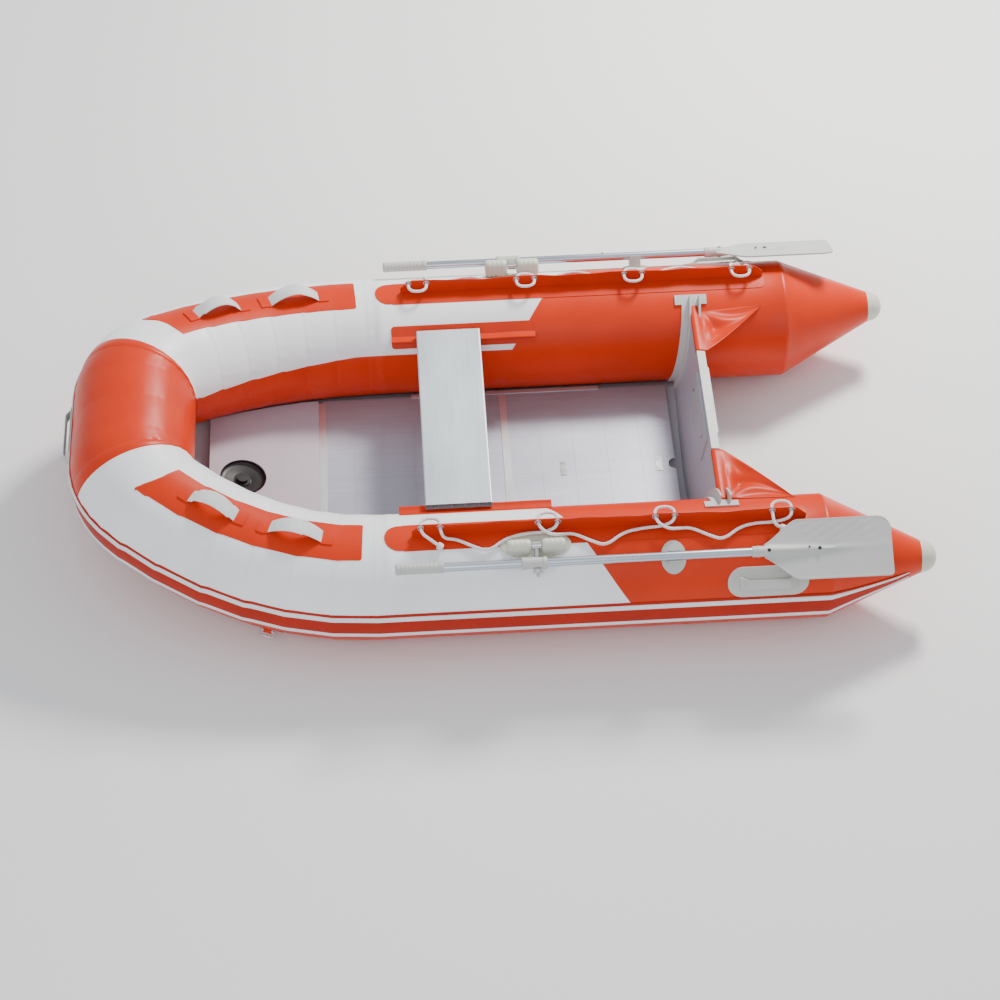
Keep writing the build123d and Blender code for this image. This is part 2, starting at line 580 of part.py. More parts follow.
def hull_bottom():
    """Bottom fabric: a shallow vee from tube to tube, turned up under the bow."""
    attach, stand = 232.0, TUBE_R + 1.6
    edge = [on_side(x, attach, stand) for x in (650.0, 1200.0)]
    edge += [on_bow(0, 0.0, attach, stand), on_bow(2, 0.0, attach + 1, stand), on_bow(3, 0.0, attach + 4, stand)]
    edge += [on_bow(4, 0.0, attach + 7, stand), on_bow(5, 0.0, attach + 10, stand), on_bow(6, 0.2, 245, stand)]
    edge += [on_bow(7, 0.6, 252, stand + 0.5), on_bow(9, 0.5, 262, stand + 2.0)]
    keel_xs = [650.0, 1200.0, SEAM_X, KEEL_BEND, 2110.0, 2220.0, 2330.0, KEEL_END + 20, 2500.0, 2600.0]
    rows = []
    for p, kx in zip(edge, keel_xs):
        k = Vector(kx, 0, keel_line(kx))
        half = k + (p - k) * 0.5
        drop = Vector(0, 0, 2.0)
        half = half - drop if half.Z > 8 else half
        rows.append([Vector(p.X, -p.Y, p.Z), Vector(half.X, -half.Y, half.Z), k, half, p])
    save("hull_bottom", sheet(rows, Vector(0, 0, SKIN)))


def keel_tube():
    bend = Vector(KEEL_BEND, 0, KEEL_Z)
    end = Vector(KEEL_END, 0, KEEL_Z + BOW_SLOPE * (KEEL_END - KEEL_BEND))
    start = Vector(FLOOR_X0, 0, KEEL_Z)
    rear = extrude(Plane(origin=start, z_dir=(1, 0, 0)) * Circle(KEEL_R), amount=(bend - start).length + 30)
    nose = end - bend
    front = extrude(Plane(origin=bend - nose.normalized() * 30, z_dir=nose) * Circle(KEEL_R), amount=nose.length + 30)
    joint = Plane(origin=bend, z_dir=(Vector(1, 0, 0) + nose.normalized()))
    rear = split(rear, bisect_by=joint, keep=Keep.BOTTOM)
    front = split(front, bisect_by=joint, keep=Keep.TOP)
    shell = rear + front
    inner_rear = extrude(Plane(origin=start + Vector(8, 0, 0), z_dir=(1, 0, 0)) * Circle(KEEL_R - SKIN),
                         amount=(bend - start).length + 22)
    inner_front = extrude(Plane(origin=bend - nose.normalized() * 30, z_dir=nose) * Circle(KEEL_R - SKIN),
                          amount=nose.length + 22)
    inner = split(inner_rear, bisect_by=joint, keep=Keep.BOTTOM) + split(inner_front, bisect_by=joint, keep=Keep.TOP)
    save("keel_tube", shell - inner)


# ---- transom ----
def transom_plane(forward=0.0):
    """Plane of the transom's front face moved forward: its x is to port, its y is up, its z is forward."""
    tilt = math.radians(TRANSOM_RAKE)
    face = Vector(math.cos(tilt), 0, math.sin(tilt))
    up = Vector(-math.sin(tilt), 0, math.cos(tilt))
    foot = Vector(TRANSOM_FOOT_X, 0, FLOOR_TOP) + face * forward
    return Plane(origin=foot, x_dir=(0, 1, 0), z_dir=(face.X, 0, face.Z)), up


def tube_rods(radius, x0=500.0, x1=900.0):
    return both(straight(Circle(radius), x0, x1))


def transom():
    plane, _ = transom_plane(-TRANSOM_THICK)
    slope = math.cos(math.radians(TRANSOM_RAKE))
    top = (TRANSOM_TOP - FLOOR_TOP) / slope
    low = -68.0
    blank = Pos(0, (top + low) / 2) * Rectangle(1000, top - low)
    board = extrude(plane * blank, amount=TRANSOM_THICK)
    for rod in tube_rods(TUBE_R + GLUE + HOLDER_THICK + GLUE):
        board = board - rod
    # the bottom edge follows the shallow vee of the hull's fabric
    board = max(board.solids(), key=lambda solid: solid.volume)
    vee = [Vector(0, low - 60, 0), Vector(-470, low - 60, 0), Vector(-470, low + 52, 0), Vector(0, low, 0),
           Vector(470, low + 52, 0), Vector(470, low - 60, 0)]
    board = board - extrude(plane * make_face(Polyline(*vee, close=True)), amount=TRANSOM_THICK + 40, both=True)
    board = max(board.solids(), key=lambda solid: solid.volume)
    half = 232.0
    trim_plane, _ = transom_plane(-TRANSOM_THICK / 2)
    cap = extrude(trim_plane * (Pos(0, top + GLUE + TRIM_THICK / 2) * Rectangle(2 * half, TRIM_THICK)),
                  amount=TRANSOM_THICK / 2 + 1, both=True)
    save("transom_trim", cap)
    plates = []
    for forward, height, drop in ((GLUE, 120.0, 24.0), (-TRANSOM_THICK - GLUE - MOTOR_PLATE_THICK, MOTOR_HEIGHT, 0.0)):
        place, _ = transom_plane(forward)
        blank = Pos(0, top - drop - height / 2) * RectangleRounded(MOTOR_WIDTH, height, 14)
        plates.append(extrude(place * blank, amount=MOTOR_PLATE_THICK))
    bolts = []
    behind, _ = transom_plane(-TRANSOM_THICK - GLUE - MOTOR_PLATE_THICK - 4.5)
    length = TRANSOM_THICK + 2 * (GLUE + MOTOR_PLATE_THICK) + 9
    for u in (-110.0, 110.0):
        v = top - 70
        for index in range(2):
            plates[index] = plates[index] - extrude(behind * (Pos(u, v) * Circle(4.2)), amount=length)
        shank = extrude(behind * (Pos(u, v) * Circle(4.0)), amount=length)
        head = extrude(behind * (Pos(u, v) * Circle(8.0)), amount=4)
        nut_place, _ = transom_plane(GLUE + MOTOR_PLATE_THICK + 0.3)
        nut = extrude(nut_place * (Pos(u, v) * RegularPolygon(8, 6)), amount=6)
        bolts.append(shank + head + nut)
        board = board - extrude(behind * (Pos(u, v) * Circle(4.2)), amount=length)
    save("transom_board", board)
    save("motor_plates", *plates)
    return bolts


def transom_holders():
    """Moulded channels glued to the tubes that take the transom's ends, and the fabric gussets aft of them."""
    r0 = TUBE_R + GLUE
    r1 = r0 + HOLDER_THICK
    behind, _ = transom_plane(-TRANSOM_THICK - HOLDER_FOOT_AFT)
    band = extrude(behind * Rectangle(1400, 1400), amount=HOLDER_FOOT_AFT + TRANSOM_THICK + HOLDER_FOOT)

    def holder(root):
        """One port channel; root is how deep its two flanges start inside the foot, which leaves no mark outside."""
        parts = [straight(sector(r0, r1, HOLDER_A0, HOLDER_A0 + 10), HOLDER_ARM_X0, HOLDER_ARM_X1),
                 straight(sector(r0, r1, HOLDER_A0 + 9, HOLDER_A1), 560.0, 860.0) & band]
        flange = straight(sector(r1 - root, r1 + HOLDER_FLANGE, HOLDER_A0 + 4, HOLDER_A1 - 2), 560.0, 860.0)
        for forward in (GLUE, -TRANSOM_THICK - GLUE - HOLDER_FLANGE_THICK):
            plane, _ = transom_plane(forward)
            slab = extrude(plane * Rectangle(1400, 1400), amount=HOLDER_FLANGE_THICK)
            parts.append(flange & slab)
        return fused(parts)

    # The two sides come out the same shape. Each takes the root whose faces mesh true on that side.
    port, starboard = both(holder(HOLDER_ROOT_PORT))[0], both(holder(HOLDER_ROOT_STARBOARD))[1]
    save("transom_holders", port, starboard)
    rows = []
    inner_y, z_top = 236.0, TRANSOM_TOP - 4.0
    back_x = TRANSOM_FOOT_X - (TRANSOM_TOP - FLOOR_TOP) * math.tan(math.radians(TRANSOM_RAKE)) - TRANSOM_THICK - 10
    ends = [(back_x - 6, 0.0), (back_x - 40, 0.25), (back_x - 90, 0.5), (back_x - 150, 0.75), (430.0, 0.97)]
    for x, share in ends:
        row = []
        outer = on_side(x, 124.0, TUBE_R + 0.5)
        inner = Vector(x, inner_y + (outer.Y - inner_y) * share, z_top - 6 * math.sin(math.pi * share))
        for k in range(4):
            row.append(inner + (outer - inner) * (k / 3))
        rows.append(row)
    save("transom_gussets", *both(sheet(rows, Vector(0, 0, SKIN))))


# ---- bench ----
def bench():
    """An extruded board that slides on two bead rails glued inside the tubes."""
    x0, x1 = BENCH_X - BENCH_WIDTH / 2, BENCH_X + BENCH_WIDTH / 2
    profile = Pos(BENCH_X, BENCH_TOP - BENCH_THICK / 2) * RectangleRounded(BENCH_WIDTH, BENCH_THICK, 5)
    cells = 5
    pitch = (BENCH_WIDTH - BENCH_WALL) / cells
    for k in range(cells):
        cell = RectangleRounded(pitch - BENCH_WALL, BENCH_THICK - 2 * BENCH_WALL, 1.5)
        profile -= Pos(x0 + BENCH_WALL / 2 + (k + 0.5) * pitch, BENCH_TOP - BENCH_THICK / 2) * cell
    ribs = 28
    for k in range(ribs):
        x = x0 + 12 + (BENCH_WIDTH - 24) * k / (ribs - 1)
        profile -= Pos(x, BENCH_TOP) * Rectangle(1.6, 1.2)
    save("bench_board", xz_extrude(profile, -BENCH_HALF, BENCH_HALF))
    under = BENCH_TOP - BENCH_THICK
    end_plane = across(x0, 0, 0)
    bead = Pos(BEAD_Y, RAIL_Z)
    block = Pos(BEAD_Y + 1, RAIL_Z) * Rectangle(20, 2 * (under - RAIL_Z))
    block -= bead * Circle(BEAD_D / 2 + BENCH_PLAY)
    block -= Pos(BEAD_Y + 15, RAIL_Z) * Rectangle(30, TONGUE + 2 * BENCH_PLAY)
    save("bench_end_profiles", *both(extrude(end_plane * block, amount=x1 - x0)))
    r0 = TUBE_R + GLUE
    angle = 180 - math.degrees(math.asin((RAIL_Z - TUBE_R) / r0))
    patch = straight(sector(r0, r0 + PATCH, angle - 11, angle + 12), RAIL_X0, RAIL_X1)
    rail_plane = across(RAIL_X0, 0, 0)
    reach = CENTRE_Y + polar(r0 + PATCH / 2, angle)[0] - BEAD_Y
    tongue = Pos(BEAD_Y + reach / 2, RAIL_Z) * Rectangle(reach, TONGUE)
    web = extrude(rail_plane * (tongue + bead * Circle(BEAD_D / 2)), amount=RAIL_X1 - RAIL_X0)
    web = web - straight(Circle(r0 + 0.2), RAIL_X0 - 5, RAIL_X1 + 5)
    save("bench_rails", *both(patch + web))


# ---- oars ----
def oar_frame(x, out=0.0, lift=0.0):
    """Plane across the port oar's shaft: its x is the blade's width, its y is away from the tube."""
    width = Vector(0, math.cos(math.radians(OAR_ANGLE)), -math.sin(math.radians(OAR_ANGLE)))
    away = Vector(0, math.sin(math.radians(OAR_ANGLE)), math.cos(math.radians(OAR_ANGLE)))
    origin = Vector(x, CENTRE_Y + OAR_Y, TUBE_R + OAR_Z) + width * out + away * lift
    return Plane(origin=origin, x_dir=(0, width.Y, width.Z), z_dir=(1, 0, 0))


def oar_rod(radius, x0, x1):
    return extrude(oar_frame(x0) * Circle(radius), amount=x1 - x0)


def blade_plane(lift=0.0):
    """The blade's middle plane: its x runs forward along the boat, its y is outboard across the blade."""
    frame = oar_frame(0, 0, lift)
    return Plane(origin=frame.origin, x_dir=(1, 0, 0), z_dir=(0, frame.y_dir.Y, frame.y_dir.Z))


def pin_plane(distance, x=PIVOT_X):
    """Plane across the oar's pin at a distance outboard of the shaft's axis."""
    frame = oar_frame(x, distance)
    return Plane(origin=frame.origin, x_dir=(1, 0, 0), z_dir=frame.x_dir)


def oar():
    """The port oar's pieces, by node name."""
    shaft_r = SHAFT_D / 2
    bore_r = shaft_r - SHAFT_WALL
    pieces = {}
    grip = oar_rod(GRIP_D / 2, GRIP_X0, GRIP_X1) - oar_rod(shaft_r + GLUE, GRIP_X0 - 1, GRIP_X1 - 6)
    pieces["grip"] = grip
    pin_hole = extrude(pin_plane(-60) * Circle(PIN_D / 2 + PIN_PLAY), amount=120)
    upper = oar_rod(shaft_r, SPLIT_X, GRIP_X1 - 7) - oar_rod(bore_r, SPLIT_X - 1, GRIP_X1 + 10)
    button_plane = Plane(origin=oar_frame(BUTTON_X).origin, x_dir=(1, 0, 0), z_dir=oar_frame(BUTTON_X).y_dir)
    button_hole = extrude(button_plane * Circle(BUTTON_D / 2 + 0.25), amount=40)
    pieces["shaft_upper"] = upper - pin_hole - button_hole
    neck_r = bore_r - NECK_PLAY
    lower = oar_rod(shaft_r, SOCKET_X - SOCKET_DEPTH, SPLIT_X - 0.2) + oar_rod(neck_r, SPLIT_X - 0.2, SPLIT_X + NECK_LENGTH)
    lower = lower - oar_rod(neck_r - SHAFT_WALL, SOCKET_X - SOCKET_DEPTH - 1, SPLIT_X + NECK_LENGTH + 1)
    pieces["shaft_lower"] = lower - button_hole
    head = extrude(button_plane * Circle(BUTTON_D / 2), amount=shaft_r + BUTTON_OUT - 5.2)
    pieces["button"] = Pos(*(button_plane.z_dir * 5.2)) * head
    side = BLADE_HALF
    outline = [(BLADE_X0, -side), (SHOULDER_END_X, -side), (SHOULDER_X, -SOCKET_D / 2 - 2),
               (SHOULDER_X, SOCKET_D / 2 + 2), (SHOULDER_END_X, side), (BLADE_X0, side)]
    face = make_face(Polyline(*outline, close=True))
    corners = face.vertices().sort_by(Axis.X)[:2].sort_by(Axis.Y)
    face = fillet(corners[0:1], BLADE_CORNER_IN)
    corners = face.vertices().filter_by(lambda v: v.X < BLADE_X0 + 1 and v.Y > side - 1)
    face = fillet(corners, BLADE_CORNER_OUT)
    flat = blade_plane() * extrude(face, amount=BLADE_THICK / 2, both=True)
    socket = oar_rod(SOCKET_D / 2, SHOULDER_END_X - 60, SOCKET_X)
    spine = loft([oar_frame(SHOULDER_END_X - 60) * Circle(SOCKET_D / 2), oar_frame(SPINE_END_X) * Circle(3.0)], ruled=True)
    hollow = oar_rod(shaft_r + GLUE, SOCKET_X - SOCKET_DEPTH - 1, SOCKET_X + 1)
    pieces["blade"] = (flat + socket + spine) - hollow
    half = COLLAR_LENGTH / 2
    collar = oar_rod(COLLAR_D / 2, PIVOT_X + 10 - half, PIVOT_X + 10 + half)
    pieces["collar"] = collar - oar_rod(shaft_r + GLUE, 0, 2000) - pin_hole
    return pieces


def axle_distance():
    return math.hypot(OAR_Y - AXLE_Y, OAR_Z - AXLE_Z)


def oarlocks():
    """Lobed rubber bases with an axle, and the tilting block whose pin holds the oar."""
    gap = axle_distance()
    axle = Vector(0, CENTRE_Y + AXLE_Y, TUBE_R + AXLE_Z)
    axle_angle = math.degrees(math.atan2(AXLE_Z, AXLE_Y))
    axle_r = math.hypot(AXLE_Y, AXLE_Z)

    def axle_rod(radius, x0, x1):
        return extrude(Plane(origin=(x0, axle.Y, axle.Z), z_dir=(1, 0, 0)) * Circle(radius), amount=x1 - x0)

    half = LOCK_BASE_LENGTH / 2
    spread = math.degrees(LOCK_BASE_WIDTH / 2 / TUBE_R)
    r0 = TUBE_R + GLUE
    middle = LOCK_BASE_ANGLE
    base = straight(sector(r0, r0 + LOCK_BASE_THICK, middle - spread, middle + spread), PIVOT_X - half, PIVOT_X + half)
    oval = radial_plane(PIVOT_X, middle, TUBE_R - 20) * extrude(Ellipse(half, LOCK_BASE_WIDTH / 2), amount=80)
    base = base & oval
    lobes = []
    for x0 in (PIVOT_X + LOBE_GAP / 2, PIVOT_X - LOBE_GAP / 2 - LOBE_LENGTH):
        lobe = axle_rod(LOBE_D / 2, x0, x0 + LOBE_LENGTH)
        foot = radial_plane(x0 + LOBE_LENGTH / 2, axle_angle, r0 + 2) * Box(
            LOBE_LENGTH, LOBE_D, axle_r - r0 - 2, align=(Align.CENTER, Align.CENTER, Align.MIN))
        lobe = lobe + foot
        lobe = lobe - straight(Circle(r0), x0 - 5, x0 + LOBE_LENGTH + 5)
        lobes.append(lobe)
    # the axle goes through both lobes and carries the block between them
    bore = axle_rod(AXLE_D / 2 + PIN_PLAY, PIVOT_X - half, PIVOT_X + half)
    body = fused([base, *lobes]) - bore
    save("oarlock_bases", *both(body))
    reach = LOBE_GAP / 2 + LOBE_LENGTH - 6
    save("oarlock_axles", *both(axle_rod(AXLE_D / 2, PIVOT_X - reach, PIVOT_X + reach)))
    block = axle_rod(BLOCK_R, PIVOT_X - BLOCK_LENGTH / 2, PIVOT_X + BLOCK_LENGTH / 2)
    neck_end = gap - COLLAR_D / 2 - 0.4
    start = pin_plane(-gap)
    neck = extrude(start * Circle(9.0), amount=neck_end)
    pin = extrude(start * Circle(PIN_D / 2), amount=gap + NUT_END)
    block = block + neck + pin - axle_rod(AXLE_D / 2 + PIN_PLAY, PIVOT_X - 30, PIVOT_X + 30)
    save("oarlock_pin_port", block)
    save("oarlock_pin_starboard", mirror(block, about=Plane.XZ))
    seat = pin_plane(COLLAR_D / 2 + 0.4)
    knob = extrude(seat * (RegularPolygon(KNOB_R, 6) - Circle(PIN_D / 2 + PIN_PLAY)), amount=KNOB_THICK)
    save("oarlock_knob_port", knob)
    save("oarlock_knob_starboard", mirror(knob, about=Plane.XZ))


def oar_clips():
    """A U-shaped clip on an oval base that opens away from the tube."""
    angle = math.degrees(math.atan2(OAR_Z, OAR_Y))
    shaft_r = math.hypot(OAR_Y, OAR_Z)
    r0 = TUBE_R + GLUE
    spread = math.degrees(CLIP_BASE_WIDTH / 2 / TUBE_R)
    base = straight(sector(r0, r0 + 4, angle - spread, angle + spread), CLIP_X - 60, CLIP_X + 60)
    oval = radial_plane(CLIP_X, angle, TUBE_R - 20) * extrude(Ellipse(CLIP_BASE_LENGTH / 2, CLIP_BASE_WIDTH / 2), amount=80)
    inner = SHAFT_D / 2 + CLIP_PLAY
    outer = inner + 5.0
    seat = r0 + 2
    jaws = radial_plane(CLIP_X, angle, seat) * Box(
        CLIP_LENGTH, 2 * outer, shaft_r + 3 - seat, align=(Align.CENTER, Align.CENTER, Align.MIN))
    jaws = jaws - straight(Circle(r0), CLIP_X - 60, CLIP_X + 60)
    shaft = oar_rod(inner, CLIP_X - 60, CLIP_X + 60)
    mouth = radial_plane(CLIP_X, angle, shaft_r) * Box(200, 2 * inner, 60, align=(Align.CENTER, Align.CENTER, Align.MIN))
    save("oar_clips", *both((base & oval) + (jaws - shaft - mouth)))


def carry_handles():
    """A moulded lifting handle: a flat oval base and a bar that stands off it."""
    r0 = TUBE_R + GLUE
    spread = math.degrees(CARRY_WIDTH / 2 / TUBE_R)
    base = straight(sector(r0, r0 + 5, CARRY_ANGLE - spread, CARRY_ANGLE + spread),
                    CARRY_X - CARRY_LENGTH / 2, CARRY_X + CARRY_LENGTH / 2)
    outline = SlotOverall(CARRY_LENGTH, CARRY_WIDTH - 6)
    oval = radial_plane(CARRY_X, CARRY_ANGLE, TUBE_R - 20) * extrude(outline, amount=80)
    bar = radial_plane(CARRY_X, CARRY_ANGLE, r0 + CARRY_STAND - 10) * Box(
        CARRY_BAR_LENGTH, CARRY_BAR_WIDTH, 10, align=(Align.CENTER, Align.CENTER, Align.MIN))
    feet = []
    for shift in (-1, 1):
        place = CARRY_X + shift * (CARRY_BAR_LENGTH / 2 + 12)
        feet.append(radial_plane(place, CARRY_ANGLE, r0 + 3) * Box(
            26, CARRY_BAR_WIDTH + 8, CARRY_STAND - 3, align=(Align.CENTER, Align.CENTER, Align.MIN)))
    handle = fused([base & oval, bar, *feet]) - straight(Circle(r0), 300, 900)
    save("carry_handles", *both(handle))


# ---- valves ----
def valve(plane):
    """A valve body glued on a tube and its screw cap."""
    seat = 0.3
    body = Pos(0, 0, seat) * Cylinder(VALVE_R, 4, align=(Align.CENTER, Align.CENTER, Align.MIN))
    neck = Pos(0, 0, seat) * Cylinder(VALVE_CAP_R - 5, 11, align=(Align.CENTER, Align.CENTER, Align.MIN))
    bore = Cylinder(VALVE_CAP_R - 9, 60)
    cap = Pos(0, 0, seat + 4.4) * (
        Cylinder(VALVE_CAP_R, VALVE_CAP_H, align=(Align.CENTER, Align.CENTER, Align.MIN))
        - Cylinder(VALVE_CAP_R - 4.9, VALVE_CAP_H - 3, align=(Align.CENTER, Align.CENTER, Align.MIN)))
    return plane * (body + neck - bore), plane * cap


def valves():
    side_plane = radial_plane(VALVE_X, VALVE_ANGLE, TUBE_R)
    port_body, port_cap = valve(side_plane)
    run, outboard = gore_frame(BOW_VALVE_NODE)
    y, z = polar(1, VALVE_ANGLE)
    normal = outboard * y + run.cross(outboard) * z
    bow_plane = Plane(origin=on_bow(BOW_VALVE_NODE, 0.5, VALVE_ANGLE, TUBE_R), x_dir=run, z_dir=normal)
    bow_body, bow_cap = valve(bow_plane)
    climb = math.atan(BOW_SLOPE)
    keel_z = KEEL_Z + BOW_SLOPE * (HOLE_X - KEEL_BEND) + KEEL_R / math.cos(climb)
    keel_plane = Plane(origin=(HOLE_X, 0, keel_z), z_dir=(-math.sin(climb), 0, math.cos(climb)))
    keel_body, keel_cap = valve(keel_plane)
    save("valve_bodies", *both(port_body), bow_body, keel_body)
    save("valve_cap_port", port_cap)
    save("valve_cap_starboard", mirror(port_cap, about=Plane.XZ))
    save("valve_cap_bow", bow_cap)
    save("valve_cap_keel", keel_cap)
    return side_plane, bow_plane, keel_plane


tubes()
rub_strake()
bow_handles()
ring_plane = tow_rings()
bow_tow_eye()
lifeline_flaps()
lifelines()
screws = floor_panels()
bow_board()
hull_bottom()
keel_tube()
bolts = transom()
transom_holders()
bench()
save("fasteners", *screws, *bolts)
for piece, shape in oar().items():
    save(f"oar_port_{piece}", shape)
    save(f"oar_starboard_{piece}", mirror(shape, about=Plane.XZ))
oarlocks()
oar_clips()
carry_handles()
side_plane, bow_plane, keel_plane = valves()
for name, plane in (("ring", ring_plane), ("side valve", side_plane), ("bow valve", bow_plane), ("keel valve", keel_plane)):
    o = plane.origin - Vector(MID_X, 0, 0)
    print(name, [round(v / 1000, 5) for v in (o.X, o.Y, o.Z)], "x", plane.x_dir, "z", plane.z_dir)
print("oar pivot", (PIVOT_X - MID_X) / 1000, (CENTRE_Y + AXLE_Y) / 1000, (TUBE_R + AXLE_Z) / 1000)
print("middle", MID_X, "stem", STEM_X, "bow half width", BOW_Y)
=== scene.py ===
import math

import bpy
from mathutils import Matrix, Vector


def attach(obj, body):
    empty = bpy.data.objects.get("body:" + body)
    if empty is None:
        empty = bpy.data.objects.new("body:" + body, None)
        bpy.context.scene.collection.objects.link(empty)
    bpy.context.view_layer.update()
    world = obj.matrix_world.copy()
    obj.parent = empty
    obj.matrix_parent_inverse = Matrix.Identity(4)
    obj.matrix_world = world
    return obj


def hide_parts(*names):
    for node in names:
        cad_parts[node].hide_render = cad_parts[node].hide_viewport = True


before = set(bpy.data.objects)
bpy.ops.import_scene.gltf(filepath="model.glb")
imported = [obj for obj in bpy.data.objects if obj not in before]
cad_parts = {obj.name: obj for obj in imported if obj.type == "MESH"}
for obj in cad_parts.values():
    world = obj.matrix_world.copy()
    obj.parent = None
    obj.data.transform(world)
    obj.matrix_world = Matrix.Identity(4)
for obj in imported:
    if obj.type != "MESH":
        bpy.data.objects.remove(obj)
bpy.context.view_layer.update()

# ---- sizes in metres, in the boat's own stern based x before the shift to the frame's origin ----
MID = 1.426117
TUBE_R, CENTRE_Y = 0.210, 0.570
CONE, TIP_R, CONE_OUT, CONE_UP = 0.336, 0.053, 0.031, 0.005
SEAM_X, BEND_X, BOW_RISE = 1.794, 1.833, 0.150
BOW_R1, BOW_A1, BOW_R2, SEAM_A = 1.239, 36.5, 0.222, 68.0
STRAKE_TOP = 13.0
FLAP_ANGLE = 88.0
STATIONS = (1.654, 1.266, 0.878, 0.490)
ROPE_D = 0.011
PIVOT_X = 1.310
OAR_Y, OAR_Z = 0.1446, 0.2088
AXLE_Y, AXLE_Z = 0.0942, 0.2380

SIDES = ((1, "port"), (-1, "starboard"))
TAPE = 0.026                      # width of the tape round the bow's centre seam

ORANGE = (0.62, 0.030, 0.001)
WHITE = (0.88, 0.90, 0.93)


# ---- the tube's axis and its surface ----
def bow_axis():
    points = [(SEAM_X, CENTRE_Y), (BEND_X, CENTRE_Y)]
    arcs = ((BOW_R1, 0.0, BOW_A1, 6), (BOW_R2, BOW_A1, SEAM_A, 4), (BOW_R2, SEAM_A, 90.0, 3))
    for radius, start, end, count in arcs:
        for step in range(count):
            h0 = math.radians(start + (end - start) * step / count)
            h1 = math.radians(start + (end - start) * (step + 1) / count)
            x, y = points[-1]
            points.append((x + radius * (math.sin(h1) - math.sin(h0)),
                           y - radius * (math.cos(h0) - math.cos(h1))))
    stem = points[-1][0]
    points.append((stem, 0.0))
    rise = [BOW_RISE * max(0.0, (x - BEND_X) / (stem - BEND_X)) ** 2 for x, _ in points]
    return [Vector((x, y, TUBE_R + z)) for (x, y), z in zip(points, rise)]


AXIS = [Vector((0.0, CENTRE_Y, TUBE_R))] + bow_axis()
RUNS = [(b - a).normalized() for a, b in zip(AXIS, AXIS[1:])]
LENGTHS = [(b - a).length for a, b in zip(AXIS, AXIS[1:])]
STARTS = [sum(LENGTHS[:i]) for i in range(len(LENGTHS) + 1)]
NORMALS = [RUNS[0]] + [(a + b).normalized() for a, b in zip(RUNS, RUNS[1:])] + [Vector((0, -1, 0))]
STEM_S = STARTS[-1]
SEAM_S = STARTS[12]


def surf(s, angle, radius, side=1):
    """Point at arc length s, an angle round the tube and a distance from its axis. Side -1 is starboard."""
    i = 0
    while i < len(RUNS) - 1 and s > STARTS[i + 1]:
        i += 1
    f = (s - STARTS[i]) / LENGTHS[i]
    run = RUNS[i]
    outboard = Vector((-run.y, run.x, 0)).normalized()
    up = run.cross(outboard)
    centre = AXIS[i] + (AXIS[i + 1] - AXIS[i]) * f
    normal = NORMALS[i] * (1 - f) + NORMALS[i + 1] * f
    a = math.radians(angle)
    if s < CONE:
        share = s / CONE
        centre = centre + Vector((0, CONE_OUT, CONE_UP)) * (1 - share)
        radius = radius - (TUBE_R - TIP_R) * (1 - share)
    off = outboard * (radius * math.cos(a)) + up * (radius * math.sin(a))
    p = centre + off - run * (normal.dot(off) / normal.dot(run))
    return Vector((p.x - MID, p.y * side, p.z))


def row(x, y, z):
    return Vector((x - MID, y, z))


# ---- mesh helpers ----
def circle(count):
    """Cosine and sine at even steps round a full turn."""
    angles = [2 * math.pi * k / count for k in range(count)]
    return [(math.cos(a), math.sin(a)) for a in angles]


def squared(value, power):
    """Pushes a cosine or sine outwards, which turns a circle into a rounded rectangle."""
    return math.copysign(abs(value) ** power, value)


def ease(f):
    return f * f * (3 - 2 * f)


def quarter_round(distance, radius, least=0.0):
    """Height of a quarter circle at a distance from its foot, as a share of its radius."""
    return math.sqrt(max(least, 1 - max(0.0, 1 - distance / radius) ** 2))


def grid_faces(rows, cols, wrap=False, offset=0, flip=False):
    faces = []
    span = cols if wrap else cols - 1
    for i in range(rows - 1):
        low, high = offset + i * cols, offset + (i + 1) * cols
        for j in range(span):
            k = (j + 1) % cols
            quad = (low + j, low + k, high + k, high + j)
            faces.append(quad[::-1] if flip else quad)
    return faces


class Build:
    """Gathers grids and rods into one mesh, with two attributes for the materials."""

    def __init__(self):
        self.verts, self.faces, self.s, self.t, self.m = [], [], [], [], []

    def grid(self, rows, wrap=False, flip=False, mat=0, st=None, caps=False):
        offset, cols = len(self.verts), len(rows[0])
        for i, line in enumerate(rows):
            for j, p in enumerate(line):
                self.verts.append(Vector(p))
                a, b = st(i, j) if st else (0.0, 0.0)
                self.s.append(a)
                self.t.append(b)
        faces = grid_faces(len(rows), cols, wrap, offset, flip)
        if caps:
            first = tuple(offset + j for j in range(cols))
            last = tuple(offset + (len(rows) - 1) * cols + j for j in range(cols))
            faces += [first if flip else first[::-1], last[::-1] if flip else last]
        self.faces += faces
        self.m += [mat] * len(faces)

    def rod(self, points, radius, sides=16, mat=0, caps=True):
        """A round bar along points, with a radius each."""
        self.grid(tube_rows(points, radius, sides), wrap=True, mat=mat, caps=caps, flip=True)

    def mirrored(self):
        n = len(self.verts)
        self.verts += [Vector((v.x, -v.y, v.z)) for v in self.verts[:n]]
        self.s += self.s[:n]
        self.t += self.t[:n]
        self.m += self.m[:]
        self.faces += [tuple(i + n for i in reversed(f)) for f in self.faces[:]]
        return self

    def make(self, name, mats, body, replaces=(), slot=None, angle=None):
        """The finished object; angle splits the shading at edges that are sharper."""
        mesh = bpy.data.meshes.new(name)
        mesh.from_pydata([tuple(v) for v in self.verts], [], self.faces)
        for key, values in (("run_s", self.s), ("run_t", self.t)):
            mesh.attributes.new(key, "FLOAT", "POINT").data.foreach_set("value", values)
        for item in mats:
            mesh.materials.append(item)
        mesh.polygons.foreach_set("material_index", self.m)
        mesh.validate()
        mesh.update()
        obj = bpy.data.objects.new(name, mesh)
        bpy.context.scene.collection.objects.link(obj)
        mesh.shade_smooth()
        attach(obj, body)
        if replaces:
            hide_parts(*replaces)
        if angle is not None:
            sharpen(obj, angle)
        return obj


